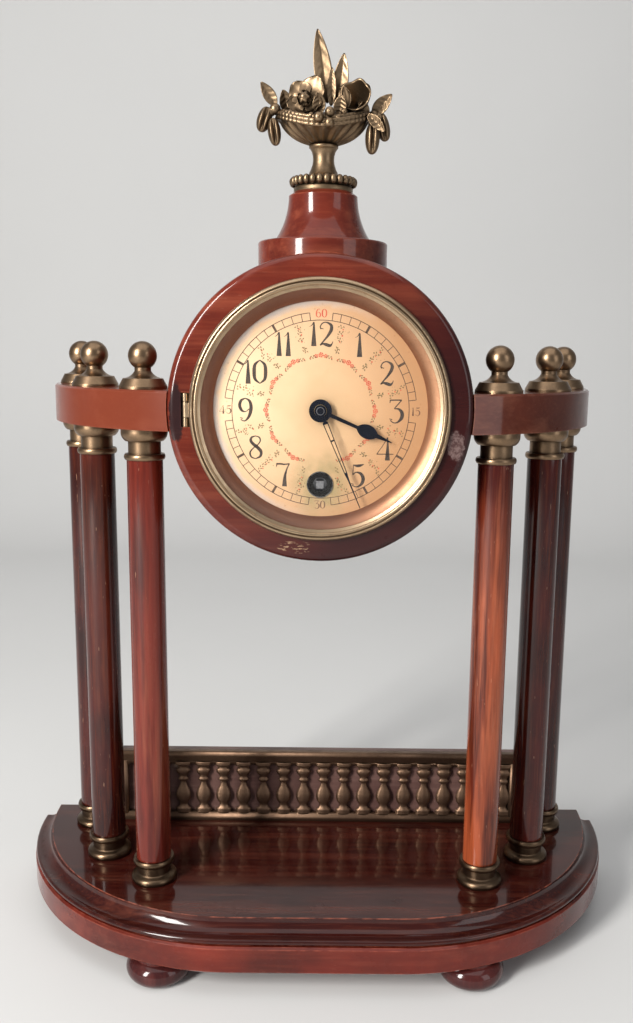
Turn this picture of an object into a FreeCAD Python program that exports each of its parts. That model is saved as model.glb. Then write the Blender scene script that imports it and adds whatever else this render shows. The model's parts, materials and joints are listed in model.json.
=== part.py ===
import FreeCAD, Part
import math
import os

# Portal mantel clock: a round wooden drum is carried between two curved arms on six columns.
# Millimetres. +X is right, +Y is back, +Z is up, and the origin lies on the table under the
# middle of the base. The dial faces -Y.

# General clearances and overruns
running_fit = 0.05
pin_fit = 0.04
loose_fit = 0.3
wood_fit = 0.35
overrun = 2.0

# Base: a D-shaped board on bun feet, with a moulded board on top of it
base_half_width = 131.16
base_depth = 100.36
base_side_straight = 1.9
foot_height = 10.0
slab_thickness = 11.1
slab_edge_round = 0.8
platform_thickness = 8.1
platform_top_inset = 7.55
platform_bead_inset = 0.7
platform_groove_inset = 1.7
platform_groove_height = 0.6
platform_bead_height = 2.2
platform_lip_height = 0.8
platform_fillet_inset = 2.1
cove_depth = 1.5

# Bun feet
foot_radius = 13.0
foot_widest_share = 0.47
foot_sole_radius = 8.0
foot_neck_radius = 9.5
foot_neck_height = 0.8
foot_tenon_radius = 4.0
foot_tenon_length = 6.0
foot_front_x = 62.0
foot_rear_x = 78.0
foot_front_inset = 15.2
foot_rear_inset = 16.2

# Columns: three on each side along an arc that follows the base
column_inset = 27.4
column_drum_gap = 11.37
column_last_angle = 10.4
shaft_bottom_radius = 7.05
shaft_top_radius = 6.9
shaft_seat_depth = 1.2

# Brass column base, from the board up
torus_radius = 9.3
torus_contact_radius = 8.8
torus_height = 3.4
torus_top_radius = 8.1
torus_widest_share = 0.4
base_neck_radius = 6.95
base_neck_height = 3.5
base_ring_radius = 8.0
base_ring_height = 2.6
base_fillet_height = 0.4

# Brass capital, from the shaft up
astragal_radius = 7.85
astragal_height = 2.2
capital_neck_radius = 6.2
capital_neck_height = 4.9
capital_flange_radius = 8.85
capital_flange_low_radius = 7.3
capital_flange_height = 4.3
capital_lip_height = 1.2
capital_height = 12.0

# Ball finials on the arms
collar_radius = 9.1
collar_lip_height = 0.9
collar_top_radius = 7.5
collar_height = 3.9
finial_neck_radius = 3.1
finial_neck_height = 2.8
finial_waist_shares = (0.62, 0.35)
ball_radius = 5.41
ball_centre_height = 12.3

# Long rods that pull each column together from below the base
rod_radius = 1.8
rod_hole_radius = 2.1
rod_head_radius = 4.0
rod_head_height = 2.4
rod_head_gap = 0.4
rod_grip_length = 9.0

# Arms
arm_half_width = 11.2
arm_thickness = 14.8
arm_top_rise = 6.7
arm_edge_round = 0.7
arm_tenon_radius = 4.0
arm_tenon_depth = 7.5
arm_tenon_y_inset = 13.0

# Drum
drum_radius = 56.0
drum_depth = 55.0
drum_centre_height = 223.5
drum_front_y = -31.7
drum_front_round = 2.8
drum_back_round = 1.6
drum_front_bore = 46.5
drum_front_bore_depth = 13.2
drum_bore = 42.9

# Bezel, glass and sight ring, measured back from the drum's front face
bezel_radius = 47.6
bezel_rise = 2.4
bezel_edge_rise = 0.7
bezel_roll_radius = 46.4
bezel_groove_radius = 45.9
bezel_groove_rise = 1.8
bezel_ridge_radius = 45.2
bezel_shoulder_radius = 44.5
bezel_shoulder_rise = 1.5
bezel_lip_radius = 43.4
bezel_lip_rise = 0.9
bezel_tube_depth = 2.3
bezel_tube_wall = 1.6
glass_thickness = 1.2
glass_seat_rise = 0.6
ring_front_radius = 43.7
ring_front_depth = 1.1
ring_wall = 0.5
ring_bulge_share = 0.12
dial_sight_radius = 39.4

# Cover hinges: a knuckle of the cover turns on a pin between two knuckles of a fixed leaf
hinge_offset = 1.3
hinge_rise = 0.2
knuckle_radius = 1.0
knuckle_length = 5.6
knuckle_gap = 0.2
outer_knuckle_length = 3.0
hinge_pin_radius = 0.5
leaf_thickness = 0.8
leaf_depth = 2.6
leaf_reach = 1.5
lug_thickness = 0.8
lug_half_height = 2.6
notch_clearance = 0.2

# Dial
dial_radius = 43.0
dial_thickness = 0.6
dial_depth = 5.2
dial_hole_radius = 3.0
dial_foot_radius = 1.0
dial_foot_circle = 37.5
dial_foot_angles = (25.0, 155.0, 295.0)
winding_drop = 27.4
grommet_hole_radius = 4.55
grommet_flange_radius = 4.93
grommet_flange_rise = 0.35
grommet_bore_radius = 2.6
grommet_mouth_radius = 4.1

# Hands, measured back from the drum's front face
hour_hand_depth = 3.2
hour_hand_thickness = 0.4
hour_boss_radius = 4.2
hour_boss_thickness = 0.8
hour_hand_length = 28.7
hour_shank_half_width = 0.75
hour_waist_share = 0.8
hour_pear_start = 14.8
hour_pear_middle = 18.6
hour_pear_end = 22.6
hour_pear_half_width = 2.6
hour_point_half_width = 0.85
hand_tip_half_width = 0.15
minute_hand_depth = 1.7
minute_hand_thickness = 0.4
minute_boss_radius = 2.2
minute_boss_thickness = 0.8
minute_hand_length = 38.7
minute_bar_start = 4.6
minute_bar_end = 25.0
minute_bar_half_width = 1.0
minute_bar_end_half_width = 0.55
minute_rail_width = 0.32
minute_cross_at = 11.7
minute_cross_width = 0.6
minute_stem_half_width = 0.45
hour_hand_angle = 113.4
minute_hand_angle = 157.2
hand_nut_radius = 1.25
hand_nut_height = 0.55
hand_pin_radius = 0.45
hand_pin_height = 0.3

# Back door
door_radius = 44.9
door_thickness = 1.4
door_seat_depth = 1.6
door_dome_rise = 4.0
door_dome_radius = 36.0
door_dome_shares = (0.6, 0.8)
door_knob_radius = 2.6
door_knob_height = 4.0
door_knob_offset = 30.0

# Movement plates, with the pillars between them
plate_thickness = 1.5
plate_gap = 20.0
front_plate_radius = 46.2
back_plate_radius = 40.0
pillar_radius = 2.5
pillar_circle = 37.3
pillar_angles = (45.0, 135.0, 225.0, 315.0)
screw_radius = 0.8
screw_head_radius = 1.55
screw_head_height = 1.0
screw_length = 6.0
mounting_screw_circle = 44.55
mounting_screw_angles = (0.0, 120.0, 240.0)

# Pivots and arbors
pivot_radius = 0.45
fine_arbor_radius = 0.54
arbor_radius = 0.9
centre_arbor_radius = 1.2
centre_front_radius = 0.8
winding_arbor_radius = 1.5
winding_core_radius = 2.6
winding_square = 2.8
winding_square_depth = 4.4
winding_square_start = 0.3
stud_radius = 0.8
end_shake = 0.1
arbor_shoulder = 0.8

# Gear modules, tooth counts and tooth forms
great_teeth = 72
great_module = 0.385
intermediate_leaves = 12
intermediate_teeth = 60
intermediate_module = 0.40
centre_leaves = 10
centre_teeth = 64
centre_module = 0.36
third_leaves = 8
third_teeth = 60
third_module = 0.33
fourth_leaves = 8
fourth_teeth = 64
fourth_module = 0.28
escape_leaves = 8
escape_teeth = 15
escape_radius = 5.9
escape_root_share = 0.78
cannon_leaves = 12
minute_teeth = 36
motion_module = 0.45
minute_leaves = 10
hour_teeth = 40
ratchet_teeth = 24
ratchet_radius = 6.5
ratchet_root_share = 0.84
saw_peak_share = 0.86
saw_fall_share = 0.94
addendum_share = 0.85
dedendum_share = 1.25
tooth_tip_share = 0.16
tooth_pitch_share = 0.36
tooth_root_share = 0.52

# Wheel rims and hubs
wheel_thickness = 1.0
rim_share = 0.80
hub_radius = 2.2
spoke_width = 1.5
spokes = 4

# Directions of the arbors about the movement's middle, in degrees, and their levels,
# measured back from the front plate
intermediate_side = 1.0
third_angle = 60.0
fourth_angle = 150.0
escape_angle = 200.0
pallet_angle = 215.0
balance_angle = 235.0
minute_wheel_angle = 330.0
pallet_distance = 7.6
balance_distance = 9.5
barrel_start = 1.7
barrel_height = 11.8
barrel_radius = 12.6
barrel_wall = 0.8
barrel_floor = 0.9
intermediate_wheel_level = 15.9
intermediate_leaf_level = 10.6
leaf_length = 3.2
centre_wheel_level = 6.3
third_wheel_level = 10.1
fourth_wheel_level = 3.3
escape_wheel_level = 12.9

# Lever, balance and hairspring
pallet_level = 11.5
pallet_thickness = 0.8
pallet_pin_radius = 0.2
pallet_pin_gap = 0.8
pallet_pin_reach = 3.6
pallet_pin_length = 1.7
lever_length = 6.4
lever_half_width = 0.6
fork_half_width = 1.1
fork_slot_half_width = 0.35
fork_slot_depth = 1.2
balance_level = 14.3
balance_radius = 8.5
balance_rim_width = 1.3
balance_rim_height = 1.4
balance_hub_radius = 1.4
balance_arm_width = 1.4
balance_staff_radius = 0.5
balance_pivot_radius = 0.25
roller_radius = 2.6
roller_level = 10.2
roller_thickness = 0.6
impulse_pin_circle = 2.1
impulse_pin_radius = 0.2
hairspring_level = 17.0
hairspring_height = 1.0
hairspring_thickness = 0.14
hairspring_inner_radius = 1.5
hairspring_pitch = 0.75
hairspring_turns = 6
hairspring_collet_radius = 1.15

# Balance cock and regulator on the outside of the back plate
balance_opening_radius = 8.75
cock_foot_distance = 13.9
cock_foot_radius = 3.4
cock_foot_angle = 225.0
cock_half_width = 2.2
cock_thickness = 1.6
cock_boss_radius = 1.6
cock_boss_height = 0.9
regulator_thickness = 0.5
regulator_ring_radius = 3.0
regulator_length = 9.5
regulator_half_width = 0.7
regulator_angle = 60.0
curb_pin_radius = 0.15
curb_pin_gap = 0.45

# Mainspring
mainspring_thickness = 0.3
mainspring_height = 8.6
mainspring_inner_radius = 3.1
mainspring_turns = 9

# Click and its spring beside the ratchet wheel, in front of the front plate
ratchet_level = 2.3
ratchet_thickness = 1.3
click_distance = 11.4
click_angle = 145.0
click_radius = 1.8
click_nose_gap = 0.3
click_nose_half_width = 0.5
click_thickness = 1.0
click_tail_length = 4.2
click_nose_turn = 22.0
click_tail_turn = 70.0
click_spring_thickness = 0.3
click_spring_length = 11.0
click_spring_gap = 0.35
click_spring_post_radius = 0.9

# Motion work levels, measured forward from the front plate
cannon_leaf_level = 0.6
cannon_leaf_length = 1.9
minute_wheel_level = 0.9
hour_wheel_level = 3.6
minute_leaf_gap = 0.25
cannon_radius = 1.45
cannon_gap = 0.3
hour_pipe_radius = 2.3

# Turned plinth on the drum
plinth_flange_radius = 24.4
plinth_flange_rise = 61.6
plinth_flange_round = 0.8
plinth_cone_radius = 18.6
plinth_waist_radius = 14.4
plinth_waist_rise = 69.7
plinth_top_radius = 12.9
plinth_top_rise = 78.4
plinth_shoulder_radius = 11.1
plinth_shoulder_rise = 79.8
plinth_dowel_radius = 4.0
plinth_dowel_depth = 8.0
plinth_sunk_depth = 17.0

# Flower basket
urn_ring_radius = 11.0
urn_ring_height = 2.5
bead_ring_radius = 10.9
bead_ring_height = 3.4
bead_reach = 12.8
stem_flare_radius = 6.2
stem_flare_height = 1.6
stem_waist_radius = 3.95
stem_waist_height = 11.5
stem_curve_share = 0.8
stem_top_radius = 5.4
stem_top_height = 17.2
urn_stud_radius = 2.0
urn_stud_length = 9.0
bowl_half_width = 17.2
bowl_drop = 11.9
bowl_rim_height = 28.2
bowl_rim_band = 3.6
bowl_band_rise = 0.7
bowl_end_share = 0.12

# Places and sizes of the basket's pieces as shares of its height above the plinth
basket_height = 57.6
leaf_thickness_y = 1.8
leaf_widest_share = 0.45
# Leaves: foot x and z, tip x and z, greatest half width, y
leaf_shares = (
    (0.031, 0.417, -0.087, 1.000, 0.064, 0.010),
    (0.045, 0.451, 0.134, 0.842, 0.050, -0.028),
    (-0.217, 0.469, -0.415, 0.667, 0.054, -0.007),
    (0.217, 0.477, 0.418, 0.611, 0.050, -0.007),
    (-0.139, 0.443, -0.285, 0.684, 0.049, 0.035),
    (0.148, 0.443, 0.260, 0.674, 0.045, 0.042),
)
# Hanging buds: x, y, z, half width, half length; their tilts in degrees stand apart
bud_shares = (
    (-0.385, -0.014, 0.469, 0.043, 0.087),
    (-0.319, -0.045, 0.392, 0.038, 0.097),
    (0.328, -0.035, 0.363, 0.042, 0.111),
    (0.382, -0.010, 0.424, 0.040, 0.101),
)
bud_tilts = (14.0, -12.0, -4.0, -14.0)
# Berries: x, y, z
berry_radius = 1.9
berry_shares = (
    (-0.028, -0.142, 0.479),
    (0.028, -0.132, 0.510),
    (0.024, -0.153, 0.451),
    (-0.219, -0.076, 0.503),
    (0.240, -0.080, 0.469),
)
flower_x = -7.6
flower_y = -4.6
flower_height = 35.2
flower_petals = 5
petal_circle = 3.9
petal_radius = 3.7
petal_depth = 1.7
petal_crown_shares = (0.7, 0.75)
blunt_tip_share = 0.15
flower_heart_radius = 2.2
cup_x = 10.9
cup_y = -3.6
cup_height = 34.4
cup_radius = 6.3
cup_length = 6.2
cup_wall = 1.1
cup_foot_radius = 2.6
cup_tilt = 28.0
cup_outer_shares = (0.72, 0.45)
cup_inner_share = 0.55

# Gallery between the rear columns
gallery_column_gap = 9.99
gallery_back_inset = 10.78
gallery_depth = 3.6
gallery_bottom_rail = 2.5
gallery_height = 33.7
gallery_top_rail = 4.9
gallery_rail_step = 1.2
baluster_pitch = 9.28
baluster_offset = 2.1
baluster_foot_radius = 3.45
baluster_waist_radius = 1.2
baluster_belly_radius = 3.1
baluster_neck_radius = 1.25
baluster_cap_radius = 2.8
baluster_ring_radius = 1.8
baluster_shoulder_radius = 2.8
baluster_height_shares = (0.0, 0.06, 0.20, 0.235, 0.27, 0.40, 0.50, 0.78, 0.84, 0.90, 1.0)
backboard_thickness = 5.5
backboard_height = 32.6

# Places that follow from the sizes above
corner_radius = base_depth - base_side_straight
corner_x = base_half_width - corner_radius
base_front_y = -base_depth / 2
base_back_y = base_depth / 2
corner_y = base_front_y + corner_radius
slab_top = foot_height + slab_thickness
board_top = slab_top + platform_thickness
arm_top_height = drum_centre_height + arm_top_rise
arm_bottom = arm_top_height - arm_thickness
column_arc = corner_radius - column_inset
column_first_reach = drum_radius + column_drum_gap - corner_x
column_first_angle = math.degrees(math.acos(column_first_reach / column_arc))
column_angle_step = (column_first_angle - column_last_angle) / 2
gallery_back_y = base_back_y - gallery_back_inset
rear_column_x = corner_x + column_arc * math.cos(math.radians(column_last_angle))
gallery_half_length = rear_column_x - gallery_column_gap
plinth_flange_height = drum_centre_height + plinth_flange_rise
plinth_waist_height = drum_centre_height + plinth_waist_rise
plinth_top_height = drum_centre_height + plinth_top_rise
plinth_shoulder_height = drum_centre_height + plinth_shoulder_rise
drum_back_y = drum_front_y + drum_depth
dial_front_y = drum_front_y + dial_depth
dial_back_y = dial_front_y + dial_thickness
front_plate_back = drum_front_y + drum_front_bore_depth
front_plate_front = front_plate_back - plate_thickness
back_plate_front = front_plate_back + plate_gap
back_plate_back = back_plate_front + plate_thickness
door_outer_y = drum_back_y
drum_axis = (0.0, drum_centre_height)
winding_axis = (0.0, drum_centre_height - winding_drop)

shapes = {}


def vec(x, y, z):
    return FreeCAD.Vector(x, y, z)


def joined(first, *others):
    """One solid from touching or overlapping pieces."""
    return first.fuse(list(others)).removeSplitter()


def path_edges(points, place, as_curve=False):
    """Edges through points: a pair is a straight run, two pairs in one are an arc's middle and end.

    With as_curve the arcs become exact curves, which a turned piece with pointed ends needs.
    """
    edges = []
    last = place(*points[0])
    for step in points[1:]:
        end = place(*step[-2:])
        if len(step) == 4:
            arc = Part.Arc(last, place(*step[:2]), end)
            edges.append((arc.toBSpline() if as_curve else arc).toShape())
        else:
            edges.append(Part.makeLine(last, end))
        last = end
    return edges


def closed_face(points, place, as_curve=False):
    points = list(points)
    if points[-1][-2:] != points[0]:
        points.append(points[0])
    return Part.Face(Part.Wire(path_edges(points, place, as_curve)))


def turned_z(points, x=0.0, y=0.0, angle=360.0, as_curve=False):
    """A turned piece about a vertical axis, from points of radius and height."""
    face = closed_face(points, lambda r, z: vec(x + r, y, z), as_curve)
    return face.revolve(vec(x, y, 0), vec(0, 0, 1), angle)


def turned_y(points, axis=drum_axis, angle=360.0, as_curve=False):
    """A turned piece about an axis along Y, from points of radius and y."""
    x, z = axis
    face = closed_face(points, lambda r, y: vec(x + r, y, z), as_curve)
    return face.revolve(vec(x, 0, z), vec(0, 1, 0), angle)


def rod_y(axis, radius, y0, y1):
    return Part.makeCylinder(radius, y1 - y0, vec(axis[0], y0, axis[1]), vec(0, 1, 0))


def rod_z(x, y, radius, z0, z1):
    return Part.makeCylinder(radius, z1 - z0, vec(x, y, z0))


def block(x0, x1, y0, y1, z0, z1):
    return Part.makeBox(x1 - x0, y1 - y0, z1 - z0, vec(x0, y0, z0))


def flat_y(points, y0, y1, axis=(0.0, 0.0)):
    """A flat piece of the given outline in x and z, from y0 to y1."""
    face = closed_face(points, lambda a, b: vec(axis[0] + a, y0, axis[1] + b))
    return face.extrude(vec(0, y1 - y0, 0))


def around(axis, distance, degrees):
    """A place at a distance and direction from an axis along Y, seen from the front."""
    turn = math.radians(degrees)
    return (axis[0] + distance * math.cos(turn), axis[1] + distance * math.sin(turn))


def turned_about(shape, axis, degrees):
    """The shape turned about an axis along Y, anticlockwise as seen from the front."""
    copy = shape.copy()
    copy.rotate(vec(axis[0], 0, axis[1]), vec(0, -1, 0), degrees)
    return copy


def mirrored_x(shape):
    return shape.mirror(vec(0, 0, 0), vec(1, 0, 0))


def column_places(side):
    """The middle of the three columns on one side, the front one first."""
    places = []
    for index in range(3):
        turn = math.radians(column_first_angle - index * column_angle_step)
        x = corner_x + column_arc * math.cos(turn)
        places.append((side * x, corner_y - column_arc * math.sin(turn)))
    return places


# Base boards

def moulded_board(edge, z_low, z_high):
    """A D-shaped board whose front and sides carry an edge, given as inset and height points."""
    section = [(0.0, z_low)] + list(edge) + [(0.0, z_high)]
    turned = [(0.0, z_low)]
    for step in edge:
        radii = [corner_radius - a if i % 2 == 0 else a for i, a in enumerate(step)]
        turned.append(tuple(radii))
    turned.append((0.0, z_high))
    face = closed_face(turned, lambda r, z: vec(corner_x, corner_y - r, z))
    right = face.revolve(vec(corner_x, corner_y, 0), vec(0, 0, 1), 90)
    front_face = closed_face(turned, lambda r, z: vec(-corner_x, corner_y - r, z))
    front = front_face.extrude(vec(2 * corner_x, 0, 0))
    side_face = closed_face(turned, lambda r, z: vec(corner_x + r, corner_y, z))
    side = side_face.extrude(vec(0, base_back_y - corner_y, 0))
    middle = block(-corner_x, corner_x, corner_y, base_back_y, z_low, z_high)
    return joined(front, right, mirrored_x(right), side, mirrored_x(side), middle)


def rod_holes(z0, z1, radius):
    holes = [rod_z(x, y, radius, z0, z1) for side in (-1, 1) for x, y in column_places(side)]
    return Part.makeCompound(holes)


foot_places = {
    "foot_front_left": (-foot_front_x, base_front_y + foot_front_inset),
    "foot_front_right": (foot_front_x, base_front_y + foot_front_inset),
    "foot_rear_left": (-foot_rear_x, base_back_y - foot_rear_inset),
    "foot_rear_right": (foot_rear_x, base_back_y - foot_rear_inset),
}

slab_edge = [
    (slab_edge_round, foot_height),
    (0.0, foot_height + slab_edge_round),
    (0.0, slab_top - slab_edge_round),
    (slab_edge_round, slab_top),
]
slab = moulded_board(slab_edge, foot_height, slab_top)
slab = slab.cut(rod_holes(foot_height - overrun, slab_top + overrun, rod_hole_radius))
counterbore_top = foot_height + rod_head_height + rod_head_gap
slab = slab.cut(rod_holes(foot_height - overrun, counterbore_top, rod_head_radius + loose_fit))
for x, y in foot_places.values():
    slab = slab.cut(rod_z(x, y, foot_tenon_radius, foot_height, foot_height + foot_tenon_length))
shapes["base_slab"] = slab

groove_top = slab_top + platform_groove_height
bead_top = groove_top + platform_bead_height
cove_top = board_top - platform_lip_height
platform_edge = [
    (platform_groove_inset, slab_top),
    (platform_groove_inset, groove_top),
    (platform_bead_inset / 2, (groove_top + bead_top) / 2, platform_groove_inset, bead_top),
    (platform_fillet_inset, bead_top),
    (
        (platform_fillet_inset + platform_top_inset) / 2 + cove_depth,
        (bead_top + cove_top) / 2 - cove_depth / 2,
        platform_top_inset,
        cove_top,
    ),
    (platform_top_inset, board_top),
]
platform = moulded_board(platform_edge, slab_top, board_top)
shapes["base_platform"] = platform.cut(rod_holes(slab_top - overrun, board_top + overrun, rod_hole_radius))


def bun_foot(x, y):
    neck_low = foot_height - foot_neck_height
    profile = [
        (0.0, 0.0),
        (foot_sole_radius, 0.0),
        (foot_radius, foot_height * foot_widest_share, foot_neck_radius, neck_low),
        (foot_neck_radius, foot_height),
        (foot_tenon_radius, foot_height),
        (foot_tenon_radius, foot_height + foot_tenon_length),
        (0.0, foot_height + foot_tenon_length),
    ]
    return turned_z(profile, x, y)


for name, (x, y) in foot_places.items():
    shapes[name] = bun_foot(x, y)

# Columns with their brass bases, capitals and ball finials

base_top = board_top + torus_height + base_neck_height + base_fillet_height + base_ring_height
shaft_low = base_top - shaft_seat_depth
capital_low = arm_bottom - capital_height
shaft_high = capital_low + shaft_seat_depth


def column_base(x, y):
    torus_widest = board_top + torus_height * torus_widest_share
    neck_low = board_top + torus_height
    neck_high = neck_low + base_neck_height
    profile = [
        (rod_hole_radius, board_top),
        (torus_contact_radius, board_top),
        (torus_radius, torus_widest, torus_top_radius, neck_low - base_fillet_height),
        (base_neck_radius + base_fillet_height, neck_low),
        (base_neck_radius, neck_low + base_fillet_height),
        (base_neck_radius, neck_high),
        (base_ring_radius, neck_high + base_fillet_height),
        (base_ring_radius + base_fillet_height, neck_high + base_ring_height / 2, base_ring_radius, base_top),
        (shaft_bottom_radius, base_top),
        (shaft_bottom_radius, shaft_low),
        (rod_hole_radius, shaft_low),
    ]
    return turned_z(profile, x, y)


def column_shaft(x, y):
    profile = [
        (rod_hole_radius, shaft_low),
        (shaft_bottom_radius, shaft_low),
        (shaft_bottom_radius, base_top),
        (shaft_top_radius, capital_low),
        (shaft_top_radius, shaft_high),
        (rod_hole_radius, shaft_high),
    ]
    return turned_z(profile, x, y)


def capital(x, y):
    ring_high = capital_low + astragal_height
    neck_high = ring_high + capital_neck_height
    lip_low = arm_bottom - capital_lip_height
    profile = [
        (rod_hole_radius, shaft_high),
        (shaft_top_radius, shaft_high),
        (shaft_top_radius, capital_low),
        (astragal_radius - base_fillet_height, capital_low),
        (astragal_radius, (capital_low + ring_high) / 2, astragal_radius - base_fillet_height, ring_high),
        (capital_neck_radius, ring_high),
        (capital_neck_radius, neck_high),
        (capital_flange_low_radius, neck_high),
        (
            (capital_flange_low_radius + capital_flange_radius) / 2 + base_fillet_height,
            (neck_high + lip_low) / 2 - base_fillet_height,
            capital_flange_radius,
            lip_low,
        ),
        (capital_flange_radius, arm_bottom),
        (rod_hole_radius, arm_bottom),
    ]
    return turned_z(profile, x, y)


def ball_finial(x, y):
    lip = arm_top_height + collar_lip_height
    collar_top = arm_top_height + collar_height
    neck_top = collar_top + finial_neck_height
    centre = arm_top_height + ball_centre_height
    neck_drop = math.sqrt(ball_radius ** 2 - finial_neck_radius ** 2)
    grip = arm_top_height + rod_grip_length
    waist_radius = collar_top_radius * finial_waist_shares[0]
    waist_height = collar_top + finial_neck_height * finial_waist_shares[1]
    profile = [
        (rod_radius, arm_top_height),
        (collar_radius, arm_top_height),
        (collar_radius, lip),
        (collar_top_radius, collar_top),
        (waist_radius, waist_height, finial_neck_radius, neck_top),
        (finial_neck_radius, centre - neck_drop),
        (ball_radius, centre, 0.0, centre + ball_radius),
        (0.0, grip),
        (rod_radius, grip),
    ]
    return turned_z(profile, x, y)


def column_rod(x, y):
    head_top = foot_height + rod_head_height + rod_head_gap
    head = rod_z(x, y, rod_head_radius, head_top - rod_head_height, head_top)
    return joined(head, rod_z(x, y, rod_radius, head_top, arm_top_height + rod_grip_length))


side_names = {-1: "left", 1: "right"}
place_names = ("front", "middle", "rear")
for side, side_name in side_names.items():
    places = column_places(side)
    for (x, y), place_name in zip(places, place_names):
        shapes[f"column_{side_name}_{place_name}"] = column_shaft(x, y)
    shapes[f"column_bases_{side_name}"] = Part.makeCompound([column_base(x, y) for x, y in places])
    shapes[f"capitals_{side_name}"] = Part.makeCompound([capital(x, y) for x, y in places])
    shapes[f"ball_finials_{side_name}"] = Part.makeCompound([ball_finial(x, y) for x, y in places])
rods = [column_rod(x, y) for side in side_names for x, y in column_places(side)]
shapes["column_rods"] = Part.makeCompound(rods)

# Arms

arm_tenon_y = drum_front_y + arm_tenon_y_inset
arm_tenon_z = (arm_bottom + arm_top_height) / 2


def arm():
    """The right arm: a quarter ring over the columns, coped to the drum, with a round tenon."""
    inner = column_arc - arm_half_width
    outer = column_arc + arm_half_width
    profile = [
        (inner, arm_bottom),
        (outer, arm_bottom),
        (outer, arm_top_height - arm_edge_round),
        (outer - arm_edge_round, arm_top_height),
        (inner, arm_top_height),
    ]
    face = closed_face(profile, lambda r, z: vec(corner_x, corner_y - r, z))
    ring = face.revolve(vec(corner_x, corner_y, 0), vec(0, 0, 1), 90)
    drum_space = rod_y(drum_axis, drum_radius, base_front_y - overrun, base_back_y + overrun)
    ring = ring.cut(drum_space)
    # inside the drum's width nothing of the ring is left but the coped end
    end = max(ring.Solids, key=lambda s: s.Volume)
    tenon_start = drum_radius - arm_tenon_depth
    tenon = Part.makeCylinder(
        arm_tenon_radius,
        arm_tenon_depth + arm_tenon_radius,
        vec(tenon_start, arm_tenon_y, arm_tenon_z),
        vec(1, 0, 0),
    )
    solid = joined(end, tenon)
    for x, y in column_places(1):
        solid = solid.cut(rod_z(x, y, rod_hole_radius, arm_bottom - overrun, arm_top_height + overrun))
    return solid


arm_right = arm()
shapes["arm_right"] = arm_right
shapes["arm_left"] = mirrored_x(arm_right)

# Drum

bezel_hinge_axis = (-(bezel_radius + hinge_offset), drum_front_y + hinge_rise)
door_hinge_axis = (door_radius + hinge_offset, door_outer_y - hinge_rise)


def notch_box(axis, out, seat_radius, face_y, into):
    """The notch in the wood for a hinge. out is the side of X, into is the side of Y."""
    half = knuckle_length / 2 + knuckle_gap + outer_knuckle_length + notch_clearance
    outer = axis[0] + out * (knuckle_radius + notch_clearance + leaf_thickness / 2)
    inner = out * (seat_radius - overrun / 2)
    deep = face_y + into * leaf_depth
    shallow = face_y - into * overrun
    xs = sorted((outer, inner))
    ys = sorted((deep, shallow))
    return block(xs[0], xs[1], ys[0], ys[1], drum_centre_height - half, drum_centre_height + half)


drum_profile = [
    (drum_front_bore, drum_front_y),
    (drum_radius - drum_front_round, drum_front_y),
    (
        drum_radius - drum_front_round * (1 - math.sqrt(0.5)),
        drum_front_y + drum_front_round * (1 - math.sqrt(0.5)),
        drum_radius,
        drum_front_y + drum_front_round,
    ),
    (drum_radius, drum_back_y - drum_back_round),
    (
        drum_radius - drum_back_round * (1 - math.sqrt(0.5)),
        drum_back_y - drum_back_round * (1 - math.sqrt(0.5)),
        drum_radius - drum_back_round,
        drum_back_y,
    ),
    (door_radius + wood_fit, drum_back_y),
    (door_radius + wood_fit, drum_back_y - door_seat_depth),
    (drum_bore, drum_back_y - door_seat_depth),
    (drum_bore, front_plate_back),
    (drum_front_bore, front_plate_back),
]
plinth_y = (drum_front_y + drum_back_y) / 2 + loose_fit
drum_top = drum_centre_height + drum_radius
drum = turned_y(drum_profile)
drum = drum.cut(notch_box(bezel_hinge_axis, -1, drum_front_bore, drum_front_y, 1))
drum = drum.cut(notch_box(door_hinge_axis, 1, door_radius, drum_back_y, -1))
for side in side_names:
    mortise_end = vec(side * (drum_radius - arm_tenon_depth), arm_tenon_y, arm_tenon_z)
    mortise_depth = arm_tenon_depth + overrun
    drum = drum.cut(Part.makeCylinder(arm_tenon_radius, mortise_depth, mortise_end, vec(side, 0, 0)))
dowel_hole = rod_z(0.0, plinth_y, plinth_dowel_radius, drum_top - plinth_dowel_depth, drum_top + overrun)
drum = drum.cut(dowel_hole)
for degrees in mounting_screw_angles:
    place = around(drum_axis, mounting_screw_circle, degrees)
    drum = drum.cut(rod_y(place, screw_radius, front_plate_back, front_plate_front + screw_length))
shapes["drum_case"] = drum

# Hinges of the bezel and the back door


def fixed_leaf(axis, out, seat_radius, face_y, into):
    """Two knuckles and a pin on a leaf that lies at the bottom of its notch."""
    x, y = axis
    z = drum_centre_height
    inner_end = knuckle_length / 2 + knuckle_gap
    outer_end = inner_end + outer_knuckle_length
    leaf_ys = sorted((face_y + into * leaf_depth, face_y + into * (leaf_depth - leaf_thickness)))
    leaf_xs = sorted((x + out * knuckle_radius, out * (seat_radius + notch_clearance)))
    leaf = block(leaf_xs[0], leaf_xs[1], leaf_ys[0], leaf_ys[1], z - outer_end, z + outer_end)
    pieces = []
    for z0, z1 in ((z - outer_end, z - inner_end), (z + inner_end, z + outer_end)):
        pieces.append(rod_z(x, y, knuckle_radius, z0, z1))
        web_ys = sorted((y, leaf_ys[0] if into > 0 else leaf_ys[1]))
        pieces.append(block(x - knuckle_radius / 2, x + knuckle_radius / 2, web_ys[0], web_ys[1], z0, z1))
    pieces.append(rod_z(x, y, hinge_pin_radius, z - inner_end, z + inner_end))
    return joined(leaf, *pieces)


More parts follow.
